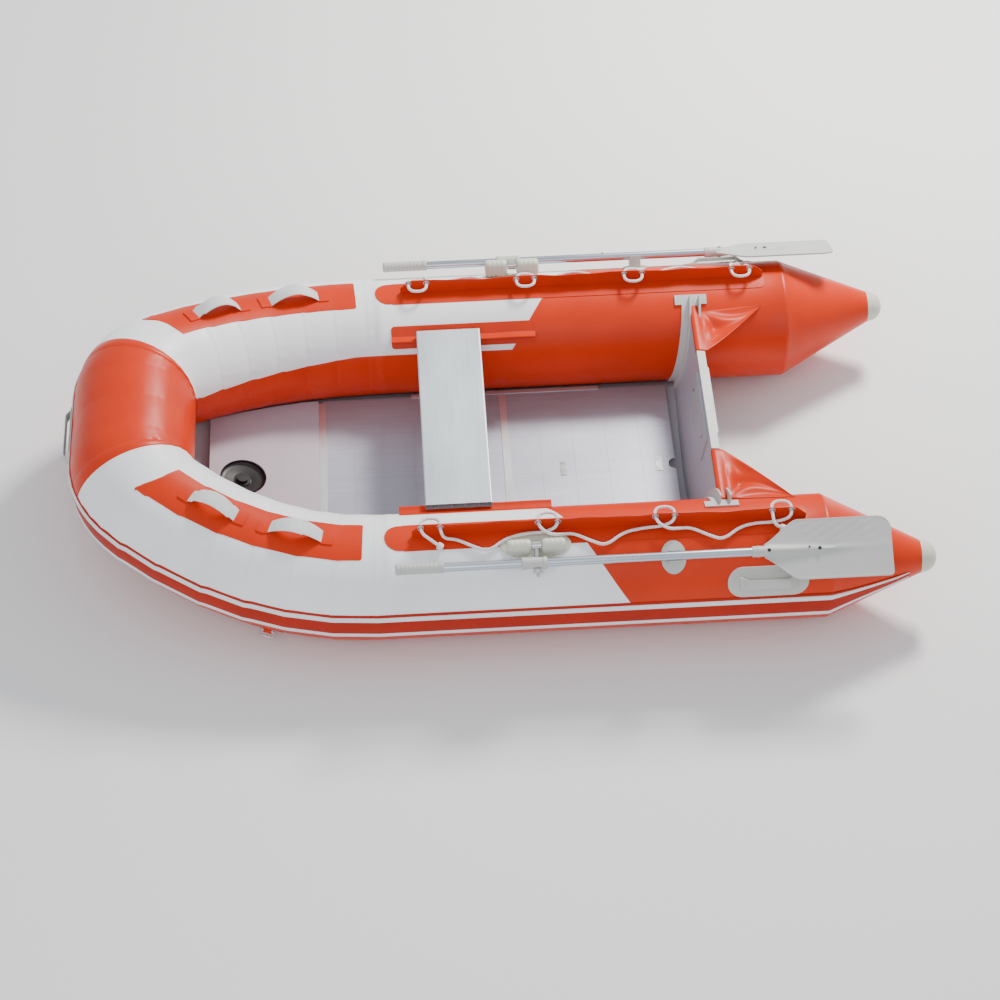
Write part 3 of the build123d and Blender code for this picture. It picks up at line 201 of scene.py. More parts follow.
def sharpen(obj, angle=35.0):
    obj.data.shade_smooth()
    obj.data.set_sharp_from_angle(angle=math.radians(angle))


def frames(points):
    """A tangent and two crossing directions at each point, carried along without twist."""
    out, side = [], None
    for i, p in enumerate(points):
        a, b = points[max(0, i - 1)], points[min(len(points) - 1, i + 1)]
        run = (b - a).normalized()
        if side is None:
            side = run.orthogonal().normalized()
        side = (side - run * side.dot(run)).normalized()
        out.append((run, side, run.cross(side)))
    return out


def tube_rows(points, radius, sides=16):
    rows = []
    for i, (p, (_, a, b)) in enumerate(zip(points, frames(points))):
        r = radius[i] if isinstance(radius, (list, tuple)) else radius
        rows.append([p + a * (r * c) + b * (r * s) for c, s in circle(sides)])
    return rows


# ---- materials ----
class Paint:
    """A new material, with the few node moves that the looks are made of."""

    def __init__(self, name):
        self.mat = bpy.data.materials.new(name)
        self.mat.use_nodes = True
        self.nodes, self.links = self.mat.node_tree.nodes, self.mat.node_tree.links
        self.bsdf = self.nodes["Principled BSDF"]

    def link(self, source, node, socket):
        self.links.new(source, node.inputs[socket])

    def set(self, values):
        for key, value in values.items():
            self.bsdf.inputs[key].default_value = value

    def noise(self, scale, detail, stretch=None):
        source = self.nodes.new("ShaderNodeTexCoord").outputs["Object"]
        if stretch:
            mapping = self.nodes.new("ShaderNodeMapping")
            mapping.inputs["Scale"].default_value = stretch
            self.link(source, mapping, "Vector")
            source = mapping.outputs["Vector"]
        node = self.nodes.new("ShaderNodeTexNoise")
        node.inputs["Scale"].default_value = scale
        node.inputs["Detail"].default_value = detail
        self.link(source, node, "Vector")
        return node.outputs["Fac"]

    def run_attributes(self):
        """Place along and across the piece, as its mesh carries them."""
        sockets = []
        for name in ("run_s", "run_t"):
            node = self.nodes.new("ShaderNodeAttribute")
            node.attribute_name = name
            sockets.append(node.outputs["Fac"])
        return sockets

    def calc(self, operation, *values):
        node = self.nodes.new("ShaderNodeMath")
        node.operation = operation
        for k, value in enumerate(values):
            if isinstance(value, (int, float)):
                node.inputs[k].default_value = value
            else:
                self.link(value, node, k)
        return node.outputs[0]

    def clamp(self, source):
        node = self.nodes.new("ShaderNodeClamp")
        self.link(source, node, "Value")
        return node.outputs["Result"]

    def ramp(self, source, low, high, first, second):
        """A colour that goes from first to second while the source goes from low to high."""
        node = self.nodes.new("ShaderNodeValToRGB")
        for k, (place, color) in enumerate(((low, first), (high, second))):
            node.color_ramp.elements[k].position = place
            node.color_ramp.elements[k].color = (*color, 1)
        self.link(source, node, "Fac")
        return node.outputs["Color"]

    def color(self, source):
        self.link(source, self.bsdf, "Base Color")

    def roughness(self, source, low, high):
        node = self.nodes.new("ShaderNodeMapRange")
        node.inputs["To Min"].default_value = low
        node.inputs["To Max"].default_value = high
        self.link(source, node, "Value")
        self.link(node.outputs["Result"], self.bsdf, "Roughness")

    def bump(self, *heights):
        """Chains bumps, each with its height, its distance in metres and its strength."""
        last = None
        for height, distance, strength in heights:
            node = self.nodes.new("ShaderNodeBump")
            node.inputs["Distance"].default_value = distance
            node.inputs["Strength"].default_value = strength
            self.link(height, node, "Height")
            if last:
                self.link(last, node, "Normal")
            last = node.outputs["Normal"]
        self.link(last, self.bsdf, "Normal")


def tint(color, k):
    return tuple(min(1.0, c * k) for c in color)


def plain(name, color, rough=0.5, metallic=0.0, vary=0.12, grain=900.0, grain_depth=0.00012, blotch=7.0,
          stretch=None, specular=0.5):
    """Colour with soft blotches, fine grain in the bump and an uneven roughness."""
    paint = Paint(name)
    cloud = paint.noise(blotch, 5.0, stretch)
    paint.color(paint.ramp(cloud, 0.3, 0.7, tint(color, 1 - vary), tint(color, 1 + vary)))
    paint.roughness(paint.noise(blotch * 6, 4.0, stretch), max(0.02, rough - 0.10), min(1.0, rough + 0.10))
    paint.bump((paint.noise(grain, 3.0, stretch), grain_depth, 0.6))
    paint.set({"Metallic": metallic, "Specular IOR Level": specular})
    return paint.mat


def tube_material():
    """Orange coated fabric with the light zone lapped over it, fine grain and soft waves."""
    # the zone's aft edge leans per degree round the tube, and its inner edge drifts per metre past drift_from
    zone_aft, aft_slant = 0.974, 0.00228
    zone_inner, drift_from, drift = 154.0, 1.9, 26.0
    arc = 0.00367                                   # metres per degree round the tube
    paint = Paint("tube_coated_fabric")
    m = paint.calc
    s, t = paint.run_attributes()
    aft = m("SUBTRACT", s, m("ADD", m("MULTIPLY", t, aft_slant), zone_aft))
    fore = m("SUBTRACT", SEAM_S, s)
    low = m("MULTIPLY", m("SUBTRACT", t, STRAKE_TOP), arc)
    inner_edge = m("ADD", zone_inner, m("MULTIPLY", m("MAXIMUM", m("SUBTRACT", s, drift_from), 0.0), drift))
    high = m("MULTIPLY", m("SUBTRACT", inner_edge, t), arc)
    depth = m("MINIMUM", m("MINIMUM", aft, fore), m("MINIMUM", low, high))
    cloud = paint.noise(5.0, 5.0)
    mix = paint.nodes.new("ShaderNodeMix")
    mix.data_type = "RGBA"
    paint.link(paint.clamp(m("MULTIPLY_ADD", depth, 1200.0, 0.5)), mix, "Factor")
    paint.link(paint.ramp(cloud, 0.3, 0.7, tint(ORANGE, 0.93), tint(ORANGE, 1.06)), mix, 6)
    paint.link(paint.ramp(cloud, 0.3, 0.7, tint(WHITE, 0.96), tint(WHITE, 1.03)), mix, 7)
    paint.color(mix.outputs[2])
    paint.roughness(paint.noise(22.0, 5.0), 0.30, 0.46)
    # the light fabric laps over the orange: a step one fabric thick at its edge
    lap = paint.clamp(m("MULTIPLY", m("ADD", depth, 0.004), 300.0))
    paint.bump((paint.noise(1500.0, 2.0), 0.00008, 0.5), (paint.noise(14.0, 3.0), 0.004, 0.10),
               (lap, 0.0012, 0.6))
    paint.set({"Specular IOR Level": 0.25})
    return paint.mat


def brushed(name, color, axis, rough, metallic):
    """Extruded aluminium: long fine lines along one axis and cloudy oxide."""
    paint = Paint(name)
    line = paint.noise(260.0, 4.0, [0.02 if k == axis else 1.0 for k in range(3)])
    cloud = paint.noise(6.0, 6.0, [0.4 if k == axis else 1.0 for k in range(3)])
    blend = paint.calc("MULTIPLY_ADD", line, 0.5, paint.calc("MULTIPLY", cloud, 0.5))
    paint.color(paint.ramp(blend, 0.35, 0.65, tint(color, 0.9), tint(color, 1.1)))
    paint.roughness(cloud, rough - 0.10, rough + 0.16)
    paint.bump((line, 0.00015, 0.35))
    paint.set({"Metallic": metallic})
    return paint.mat


def woven(name, low, high, scale, pattern, fine=()):
    """Cloth fibres: a cloudy colour, a pattern in the bump and a soft sheen."""
    paint = Paint(name)
    paint.color(paint.ramp(paint.noise(scale, 4.0), 0.3, 0.7, low, high))
    paint.bump((pattern(paint), 0.0004, 0.5), *[(paint.noise(*item[:2]), *item[2:]) for item in fine])
    return paint


def webbing(name, color):
    """Woven tape: ribs across and a finer weave along."""
    def weave(paint):
        waves = [paint.calc("SINE", paint.calc("MULTIPLY", socket, 2 * math.pi / pitch))
                 for socket, pitch in zip(paint.run_attributes(), (0.0022, 0.0028))]
        return paint.calc("MULTIPLY", *waves)
    paint = woven(name, tint(color, 0.9), tint(color, 1.05), 30.0, weave)
    paint.set({"Roughness": 0.7, "Sheen Weight": 0.3})
    return paint.mat


def rope_material():
    """Twisted fibres: strands that wind round the rope."""
    def strands(paint):
        s, t = paint.run_attributes()
        phase = paint.calc("MULTIPLY_ADD", s, 2 * math.pi / 0.0035, paint.calc("MULTIPLY", t, 3.0))
        return paint.calc("SINE", phase)
    paint = woven("rope_fibres", (0.66, 0.60, 0.62), (0.88, 0.86, 0.88), 120.0, strands,
                  [(2500.0, 2.0, 0.0002, 0.5)])
    paint.set({"Roughness": 0.85, "Sheen Weight": 0.5})
    return paint.mat


TUBE = tube_material()
PATCH = plain("patch_orange_fabric", tint(ORANGE, 0.95), 0.40, vary=0.06, grain=1500.0, grain_depth=0.00008,
              specular=0.22)
RED = plain("strake_red_rubber", (0.42, 0.016, 0.002), 0.42, vary=0.08, grain=1100.0, specular=0.2)
LIGHT_RUBBER = plain("strake_light_rubber", (0.78, 0.80, 0.84), 0.45, vary=0.04, grain=1100.0)
GREY = plain("grey_moulded_plastic", (0.50, 0.51, 0.48), 0.48, vary=0.05, grain=700.0, grain_depth=0.0002)
BEIGE = plain("beige_moulded_plastic", (0.60, 0.60, 0.50), 0.45, vary=0.06, grain=700.0, grain_depth=0.0002)
BLADE = plain("blade_moulded_plastic", (0.49, 0.50, 0.48), 0.50, vary=0.05, grain=600.0, grain_depth=0.00025)
HOLDER = plain("holder_grey_rubber", (0.52, 0.54, 0.54), 0.5, vary=0.06, grain=800.0)
BOARD = plain("transom_painted_board", (0.42, 0.44, 0.52), 0.38, vary=0.05, blotch=4.0, grain=160.0,
              grain_depth=0.0003, stretch=(1, 0.2, 1))
PAD = plain("motor_pad_plastic", (0.40, 0.45, 0.48), 0.45, vary=0.08, grain=500.0)
BOW_FLOOR = plain("bow_board_coating", (0.46, 0.40, 0.46), 0.42, vary=0.06, blotch=5.0, grain=260.0,
                  grain_depth=0.0002)
HULL_CLOTH = plain("hull_grey_fabric", (0.50, 0.48, 0.52), 0.6, vary=0.06, grain=1200.0)
# near-black colour of the keel valve's well: painted shade inside the bow board's hole
WELL_PAINTED_SHADE = plain("well_painted_shade_black", (0.012, 0.012, 0.013), 0.45, vary=0.2, grain=700.0)
BLACK = plain("valve_black_plastic", (0.015, 0.015, 0.017), 0.35, vary=0.2, grain=500.0)
STEEL = plain("stainless_steel", (0.62, 0.62, 0.63), 0.25, metallic=1.0, vary=0.06, grain=400.0,
              grain_depth=0.00005)
FLOOR_ALU = brushed("floor_aluminium", (0.44, 0.46, 0.54), 0, 0.42, metallic=0.6)
BENCH_ALU = brushed("bench_aluminium", (0.58, 0.64, 0.68), 1, 0.40, metallic=0.55)
EDGE_ALU = brushed("edge_profile_aluminium", (0.74, 0.76, 0.78), 1, 0.30, metallic=0.75)
SIDE_ALU = brushed("side_profile_aluminium", (0.72, 0.74, 0.76), 0, 0.30, metallic=0.75)
SHAFT_ALU = brushed("oar_shaft_aluminium", (0.50, 0.55, 0.62), 0, 0.24, metallic=0.85)
WEB = webbing("strap_webbing", (0.66, 0.68, 0.69))
ROPE = rope_material()

# ---- camera ----
camera = bpy.data.objects.new("camera", bpy.data.cameras.new("camera"))
bpy.context.scene.collection.objects.link(camera)
right = Vector((-0.998250, 0.058494, -0.008674))
up = Vector((-0.049550, -0.747365, 0.662563))
back = -Vector((-0.032274, -0.661834, -0.748956))
place = Vector((0.267441, 6.135373, 6.946278))
camera.matrix_world = Matrix(((right.x, up.x, back.x, place.x), (right.y, up.y, back.y, place.y),
                              (right.z, up.z, back.z, place.z), (0, 0, 0, 1)))
camera.data.sensor_width = 36.0
camera.data.lens = 93.33
camera.data.shift_y = -0.015
camera.data.clip_start, camera.data.clip_end = 0.1, 100.0
bpy.context.scene.camera = camera


# ---- cords: the two lifelines ----
U0 = CENTRE_Y + TUBE_R * math.cos(math.radians(FLAP_ANGLE))   # the flap's web, off the boat's centre
W0 = 2 * TUBE_R                                               # top of the tube
UP = W0 + 0.042                                               # middle of the eyelets
HALF = 0.0325                                                 # from a rope station to each of its eyelets


def station(x, first, last):
    """The rope's way through the two eyelets of one station: in behind the flap and out again."""
    outer, inner = U0 + 0.021, U0 - 0.040
    aft, fore = x - HALF, x + HALF
    loop = [(aft, outer, UP), (aft, inner, UP), (fore, inner, UP), (fore, outer, UP)]
    if first:
        start = [(x - 0.022, U0 + 0.050, W0 + 0.011), (x + 0.002, U0 + 0.036, W0 + 0.024)]
        return start + loop[::-1] + [(x - 0.045, U0 + 0.027, W0 + 0.014)]
    if last:
        start = [(x + 0.045, U0 + 0.027, W0 + 0.014), (aft + 0.024, U0 + 0.026, W0 + 0.022)]
        return start + loop + [(x + 0.030, U0 + 0.046, W0 + 0.024), (x + 0.008, U0 + 0.049, W0 + 0.013)]
    start = [(x + 0.050, U0 + 0.021, W0 + 0.013), (x + 0.008, U0 + 0.020, W0 + 0.015)]
    return start + loop + [(x - 0.008, U0 + 0.044, W0 + 0.026), (x - 0.050, U0 + 0.032, W0 + 0.014)]


def rope_points():
    points = []
    lay = 0.2188
    for k, x in enumerate(STATIONS):
        points += [row(*p) for p in station(x, k == 0, k == len(STATIONS) - 1)]
        if k < len(STATIONS) - 1:
            x0, x1 = x - 0.050, STATIONS[k + 1] + 0.050
            for share, angle, lift in ((0.12, 80.5, 0.0055), (0.31, 73.0, 0.0025), (0.48, 68.0, 0.0),
                                       (0.68, 79.0, 0.0055), (0.88, 82.0, 0.0055)):
                points.append(surf(x0 + (x1 - x0) * share, angle, lay + lift))
    return points


def spline_line(points, name):
    curve = bpy.data.curves.new(name, "CURVE")
    curve.dimensions = "3D"
    curve.resolution_u = 10
    spline = curve.splines.new("NURBS")
    spline.points.add(len(points) - 1)
    for item, p in zip(spline.points, points):
        item.co = (*p, 1)
    spline.order_u = 3
    spline.use_endpoint_u = True
    obj = bpy.data.objects.new(name, curve)
    bpy.context.scene.collection.objects.link(obj)
    bpy.context.view_layer.update()
    mesh = bpy.data.meshes.new_from_object(obj.evaluated_get(bpy.context.evaluated_depsgraph_get()))
    line = [v.co.copy() for v in mesh.vertices]
    bpy.data.objects.remove(obj)
    bpy.data.meshes.remove(mesh)
    return line


def resample(line, step):
    total = sum((b - a).length for a, b in zip(line, line[1:]))
    count = max(2, round(total / step))
    out, i, gone = [line[0].copy()], 0, 0.0
    for k in range(1, count):
        want = total * k / count
        while gone + (line[i + 1] - line[i]).length < want:
            gone += (line[i + 1] - line[i]).length
            i += 1
        out.append(line[i].lerp(line[i + 1], (want - gone) / max(1e-9, (line[i + 1] - line[i]).length)))
    return out + [line[-1].copy()], total


def knot(build, end, away):
    """A stopper knot: three fat turns of rope wound round its end."""
    a = away.orthogonal().normalized()
    b = away.cross(a)
    points = []
    for k in range(61):
        turn = 2 * math.pi * 2.6 * k / 60
        reach = 0.0072 + 0.0012 * math.sin(math.pi * k / 60)
        points.append(end + away * (0.001 + 0.0145 * k / 60) + a * (reach * math.cos(turn))
                      + b * (reach * math.sin(turn)))
    rows = tube_rows(points, 0.0047, 14)
    build.grid(rows, wrap=True, caps=True, flip=True, st=lambda i, j: (i * 0.0012, j * 2 * math.pi / 14))


def lifeline(side, word):
    points = [Vector((p.x, p.y * side, p.z)) for p in rope_points()]
    line, total = resample(spline_line(points, f"route_{word}"), 0.0025)
    rows = []
    sides = 20
    for i, (p, (_, a, b)) in enumerate(zip(line, frames(line))):
        twist = i * 0.0025 / 0.030 * 2 * math.pi
        ring = []
        for k in range(sides):
            phi = 2 * math.pi * k / sides
            r = ROPE_D / 2 * (0.94 + 0.07 * math.cos(3 * (phi - twist)))
            ring.append(p + a * (r * math.cos(phi)) + b * (r * math.sin(phi)))
        rows.append(ring)
    build = Build()
    build.grid(rows, wrap=True, caps=True, flip=True, st=lambda i, j: (i * 0.0025, 2 * math.pi * j / sides))
    rope = build.make(f"lifeline_rope_{word}", [ROPE], "hull", [f"lifeline_{word}"], "rope")
    ends = Build()
    knot(ends, line[0], (line[0] - line[2]).normalized())
    knot(ends, line[-1], (line[-1] - line[-3]).normalized())
    knots = ends.make(f"lifeline_knots_{word}", [ROPE], "hull", [], "rope")


for side, word in SIDES:
    lifeline(side, word)


# ---- buoyancy tubes ----
def ring_stations():
    """Arc lengths of the rings, with a narrow lap step beside each seam."""
    lap = 0.013
    out = [0.0, 0.10, 0.20, 0.29, 0.322, 0.3235, 0.336, 0.3375]
    out += [0.45 + 0.1 * k
            for k in range(13)] + [SEAM_X - 0.014, SEAM_X - 0.0125, SEAM_X + 0.0125, SEAM_X + 0.014]
    for i in range(2, len(RUNS)):
        a, length = STARTS[i], LENGTHS[i]
        if length > 0.1:
            out += [a, a + lap, a + lap + 0.0015] + [a + length * k / 6 for k in range(1, 6)]
        else:
            out += [a, a + length * 0.5]
    out += [SEAM_S - 0.0015, SEAM_S + TAPE, SEAM_S + TAPE + 0.0015]
    out.append(STEM_S)
    return sorted(set(round(v, 5) for v in out))


SEAMS = [SEAM_X] + STARTS[2:9] + [SEAM_S]


def lap_height(s):
    for seam in SEAMS[1:-1]:
        if seam - 0.0001 <= s <= seam + 0.0131:
            return 0.0006
    if abs(s - SEAM_X) < 0.013 or 0.3232 < s < 0.3365:
        return 0.0006
    if SEAM_S - 0.0001 <= s <= SEAM_S + TAPE + 0.0001:
        return 0.0010
    return 0.0


def pucker(s, angle):
    """Fabric swells between the seams of the bow and gathers a little on the inside of the bend."""
    if s < BEND_X:
        return 0.0
    i = max(k for k in range(len(STARTS)) if STARTS[k] <= s + 1e-6)
    i = min(i, len(LENGTHS) - 1)
    f = (s - STARTS[i]) / LENGTHS[i]
    inner = max(0.0, -math.cos(math.radians(angle)))
    swell = 0.0014 * math.sin(math.pi * min(1.0, max(0.0, f)))
    ripple = 0.0011 * inner * math.sin(angle * 0.55 + i * 1.7) * math.exp(-min(f, 1 - f) * 9)
    return swell + ripple


def tubes():
    build = Build()
    stations = ring_stations()
    sides = 144
    rows = []
    for s in stations:
        lap = lap_height(s)
        rows.append([surf(s, 360.0 * k / sides, TUBE_R - 0.0004 + lap + pucker(s, 360.0 * k / sides))
                     for k in range(sides)])

    def st(i, j):
        angle = 360.0 * j / sides
        return stations[i], angle if angle < 270 else angle - 360
    build.grid(rows, wrap=True, flip=True, st=st)
    build.mirrored()
    build.make("tube_skin", [TUBE], "hull",
               ["tube_port", "tube_starboard", "tube_bow_port", "tube_bow_starboard",
                                             "tube_bow_centre"], "tube_fabric")


def cone_caps():
    build = Build()
    profile = ((0.010, 0.0562), (0.0085, 0.0572), (0.001, 0.0560), (-0.001, 0.0535), (-0.010, 0.0525),
               (-0.022, 0.0480),
               (-0.033, 0.0400), (-0.041, 0.0290), (-0.046, 0.0160), (-0.0478, 0.004), (-0.048, 0.0003))
    y, z = CENTRE_Y + CONE_OUT, TUBE_R + CONE_UP
    build.grid([[row(x, y + r * c, z + r * s) for c, s in circle(48)] for x, r in profile], wrap=True,
               caps=True)
    build.mirrored().make("cone_cap_domes", [BEIGE], "hull", ["cone_caps"], "cap_plastic", angle=50)


def rub_strake():
    """Red strip with two light ribs and light edges, tapering out along the cones."""
    build = Build()
    # degrees round the tube, distance from its axis, and 0 for red or 1 for a light stretch
    profile = [(-18.6, 0.2100, 1), (-18.4, 0.2122, 1), (-17.0, 0.2126, 1), (-16.9, 0.2132, 0),
               (-16.2, 0.2136, 0),
               (-16.0, 0.2137, 1), (-15.7, 0.2164, 1), (-14.9, 0.2174, 1), (-12.1, 0.2174, 1),
               (-11.3, 0.2164, 1),
               (-11.0, 0.2137, 0), (-6.5, 0.2134, 0), (-2.0, 0.2133, 0), (2.5, 0.2134, 0), (6.0, 0.2137, 1),
               (6.3, 0.2164, 1), (7.1, 0.2174, 1), (9.9, 0.2174, 1), (10.7, 0.2164, 1), (11.0, 0.2137, 0),
               (12.6, 0.2134, 0), (13.3, 0.2122, 0), (13.6, 0.2100, 0)]
    start = 0.055
    stations = {start + (CONE - start) * k / 12
                for k in range(12)} | {s for s in ring_stations() if s >= CONE}
    stations = sorted(stations)
    middle = -2.5
    rows = []
    for s in stations:
        share = min(1.0, max(0.0, (s - start) / (CONE - start)))
        width = 0.40 + 0.60 * share
        if s < CONE:
            width *= TUBE_R / (TIP_R + (TUBE_R - TIP_R) * s / CONE) * 0.62 + 0.38 * share
        width = min(width, 1.25)
        low = 0.25 + 0.75 * min(1.0, share * 6)
        rows.append([surf(s, middle + (a - middle) * width, 0.2103 + (r - 0.2103) * low)
                     for a, r, _ in profile])
    build.grid(rows, st=lambda i, j: (stations[i], profile[j][0]))
    build.m = [light for _ in rows[1:] for _, _, light in profile[:-1]]
    build.mirrored()
    build.make("rub_strake_strip", [RED, LIGHT_RUBBER], "hull", ["rub_strake"], "strake", angle=60)


# ---- pieces glued on the tubes ----
def pad(build, s0, s1, mid, width_at, base, height, side=1, rows_n=48, cols=14, edge=0.0016, dome=0.0,
        slant=0.0):
    """A glued patch: width_at(s) gives its half width along the arc, and its edges come down to the tube."""
    rows = []
    ss = [s0 + (s1 - s0) * (0.5 - 0.5 * math.cos(math.pi * k / rows_n)) for k in range(rows_n + 1)]
    for i, s in enumerate(ss):
        half = max(0.0006, width_at(s))
        line = []
        for j in range(-1, cols + 2):
            f = min(1.0, max(0.0, j / cols)) * 2 - 1
            lifted = 0 <= j <= cols and 0 < i < rows_n
            arc = f * half
            if j in (-1, cols + 1):
                arc = f * (half + edge * 0.3)
            r = base + (height + dome * (1 - f * f) if lifted else 0.0)
            shear = slant * (f + 1) / 2 * ((s - s0) / (s1 - s0)) ** 6
            line.append(surf(s - shear, mid + math.degrees(arc / TUBE_R), r, side))
        rows.append(line)
    build.grid(rows, st=lambda i, j: (ss[i], j * 0.004), flip=side > 0)


def rounded(s0, s1, half, radius):
    def width(s):
        d = min(s - s0, s1 - s)
        if d >= radius:
            return half
        return half - radius + math.sqrt(max(0.0, radius ** 2 - (radius - d) ** 2))
    return width


def oval(mid, a, b):
    return lambda s: b * math.sqrt(max(0.0, 1 - ((s - mid) / a) ** 2))


def strap(build, s0, s1, angle, side):
    """A webbing handle: flat stitched ends and a raised arch, with thickness."""
    n, width = 40, 0.046
    rows = []
    ss = [s0 + (s1 - s0) * k / n for k in range(n + 1)]
    for k, s in enumerate(ss):
        f = k / n
        lift = 0.0
        if 0.13 < f < 0.87:
            lift = math.sin(math.pi * (f - 0.13) / 0.74) ** 0.85
        low = 0.2121 + 0.043 * lift
        section = [(-0.5, 0.0), (-0.5, 0.0028), (-0.42, 0.0033), (-0.2, 0.0035), (0.0, 0.0036), (0.2, 0.0035),
                   (0.42, 0.0033), (0.5, 0.0028), (0.5, 0.0), (0.0, 0.0003)]
        rows.append([surf(s, angle + math.degrees(u * width / TUBE_R), low + h, side) for u, h in section])
    build.grid(rows, wrap=True, caps=True, st=lambda i, j: (ss[i], j * 0.008), flip=side < 0)


def bow_handles():
    patches, straps = Build(), Build()
    s0, s1 = 1.885, STARTS[9] + 0.004
    for side in (1, -1):
        pad(patches, s0, s1, 85.5, rounded(s0, s1, 0.0735, 0.010), TUBE_R, 0.0017, side, slant=0.052)
        for a, b in ((1.996, 2.252), (2.314, 2.545)):
            strap(straps, a, b, 87, side)
            for c, d in ((a - 0.008, a + 0.034), (b - 0.034, b + 0.008)):
                pad(patches, c, d, 87, rounded(c, d, 0.0275, 0.004), 0.2112, 0.0048, side, 16, edge=0.006)
    patches.make("bow_handle_patches", [PATCH], "hull", ["handle_patches"], "patch_fabric", angle=50)
    straps.make("bow_handle_straps", [WEB], "hull", ["handle_straps"], "webbing", angle=40)


def flap_top(x):
    """Height of the flap's free edge: pulled up at the rope stations and a little slack between them."""
    x0, x1 = 0.408, 1.716
    near = min(abs(x - c) for c in STATIONS)
    slack = 0.0045 * (1 - math.exp(-(near / 0.07) ** 2))
    end = min(1.0, (x - x0) / 0.05 + 0.25, (x1 - x) / 0.05 + 0.25)
    return 0.0560 * end ** 0.6 - slack


def lifeline_flaps():
    """A glued strip on top of each tube with a round patch at its front end, and the upright web."""
    build = Build()
    levels = (0.0, 0.25, 0.5, 0.75, 0.97, 1.0)
    section = [(-0.0014, h) for h in levels] + [(0.0014, h) for h in levels[::-1]]
    for side in (1, -1):
        x0, x1 = 0.404, 1.759
        pad(build, x0, x1, FLAP_ANGLE, rounded(x0, x1, 0.055, 0.02), TUBE_R, 0.0016, side, 80)
        pad(build, 1.705, 1.809, FLAP_ANGLE, oval(1.757, 0.052, 0.052), 0.2104, 0.0017, side)
        n = 120
        rows = []
        xs = [0.408 + 1.308 * k / n for k in range(n + 1)]
        for x in xs:
            top = flap_top(x)
            lean = 0.0022 * math.sin(x * 21.0) + 0.0014 * math.sin(x * 47.0 + 1)
            near = min(abs(x - c) for c in STATIONS)
            lean *= 1 - math.exp(-(near / 0.05) ** 2)
            rows.append([Vector((x - MID, side * (U0 + half + lean * h), W0 + 0.0012 + top * h))
                         for half, h in section])
        build.grid(rows, wrap=True, caps=True, flip=side < 0, st=lambda i, j: (xs[i], j * 0.01))
    build.make("lifeline_flap_fabric", [PATCH], "hull", ["lifeline_flaps"], "patch_fabric", angle=45)


def eyelets():
    """A rolled metal ring through the flap's web on each side of every rope station."""
    rings = Build()
    half_web = 0.0015
    lip = ((0.0076, 0.0), (0.0079, 0.0012), (0.0090, 0.0020),
           (0.0108, 0.0021), (0.0121, 0.0013), (0.0125, 0.0))

    def turned(x, side, profile):
        return [[Vector((x - MID + r * c, side * U0 + h, UP + r * s)) for c, s in circle(28)]
                for r, h in profile]
    for side in (1, -1):
        for x in [c + k * HALF for c in STATIONS for k in (-1, 1)]:
            for face in (-1, 1):
                rings.grid(turned(x, side, [(r, face * (half_web + h)) for r, h in lip]), wrap=True,
                           flip=face > 0)
            rings.grid(turned(x, side, [(lip[0][0], -half_web), (lip[0][0], half_web)]), wrap=True)
    rings.make("lifeline_eyelets", [STEEL], "hull", ["lifeline_grommets"], "steel")


def bench_rails():
    """An orange patch inside each tube with a folded tongue that holds the bench's bead."""
    build = Build()
    x0, x1 = 1.241, 1.756
    mid = 137.0
    tongue = ((0.4180, 0.3560), (0.4000, 0.3556), (0.3968, 0.3572), (0.3945, 0.3583), (0.3918, 0.3586),
              (0.3888, 0.3576), (0.3872, 0.3550), (0.3872, 0.3528), (0.3888, 0.3504), (0.3918, 0.3494),
              (0.3945, 0.3497), (0.3968, 0.3508), (0.4000, 0.3524), (0.4180, 0.3520))
    for side in (1, -1):
        pad(build, x0, x1, mid, rounded(x0, x1, 0.0405, 0.012), TUBE_R, 0.0018, side)
        rows = []
        for x in [x0 + (x1 - x0) * k / 24 for k in range(25)]:
            wave = 0.0 if 1.42 < x < 1.68 else 0.0008 * math.sin(x * 30)
            rows.append([Vector((x - MID, side * y, z + wave)) for y, z in tongue])
        build.grid(rows, wrap=True, caps=True, flip=side > 0)
    build.make("bench_rail_fabric", [PATCH], "hull", ["bench_rails"], "patch_fabric", angle=60)


def gussets():
    """Slack fabric that laps over each end of the transom's top and runs down to the tube, with folds."""
    n, m = 40, 26
    for side, word in SIDES:
        rows = []
        for x, z in ((0.6838, 0.384), (0.6836, 0.396), (0.6828, 0.4018), (0.668, 0.3998), (0.6545, 0.3980)):
            rows.append([row(x, 0.236 + (0.462 - 0.236) * j / m, z) for j in range(m + 1)])
        for k in range(n + 1):
            f = k / n
            x = 0.646 - 0.221 * f
            outer = surf(x, 125.0 - 3 * f, 0.2112)
            inner = row(x, 0.236 + (outer.y - 0.236) * f ** 1.08, 0.3965 - 0.010 * f)
            line = []
            for j in range(m + 1):
                g = j / m
                p = inner.lerp(outer, g)
                grow = min(1.0, f * 6)
                dip = -0.030 * math.sin(math.pi * min(1.0, g * 1.05)) * (1 - f) ** 0.7
                dip *= 0.25 + 0.75 * f ** 0.5
                dip *= grow
                ray = math.atan2(f * 1.4, 1.02 - g)
                reach = math.hypot(f, 1 - g)
                fold = 0.011 * math.sin(7.5 * ray + 0.6) * math.sin(math.pi * min(1.0, reach)) * (1 - f)
                fold *= grow
                fold *= math.sin(math.pi * g) ** 0.5
                crease = 0.0035 * math.sin(17 * g + 9 * f) * math.sin(math.pi * g) * (1 - f) * grow
                line.append(Vector((p.x, p.y, p.z + dip + fold + crease)))
            rows.append(line)
        build = Build()
        build.grid([[Vector((p.x, p.y * side, p.z)) for p in line] for line in rows], flip=side > 0)
        cloth = build.make(f"transom_gusset_{word}", [PATCH], "hull", ["transom_gussets"], "patch_fabric")
        thick = cloth.modifiers.new("cloth", "SOLIDIFY")
        thick.thickness, thick.offset = 0.0012, 0.0


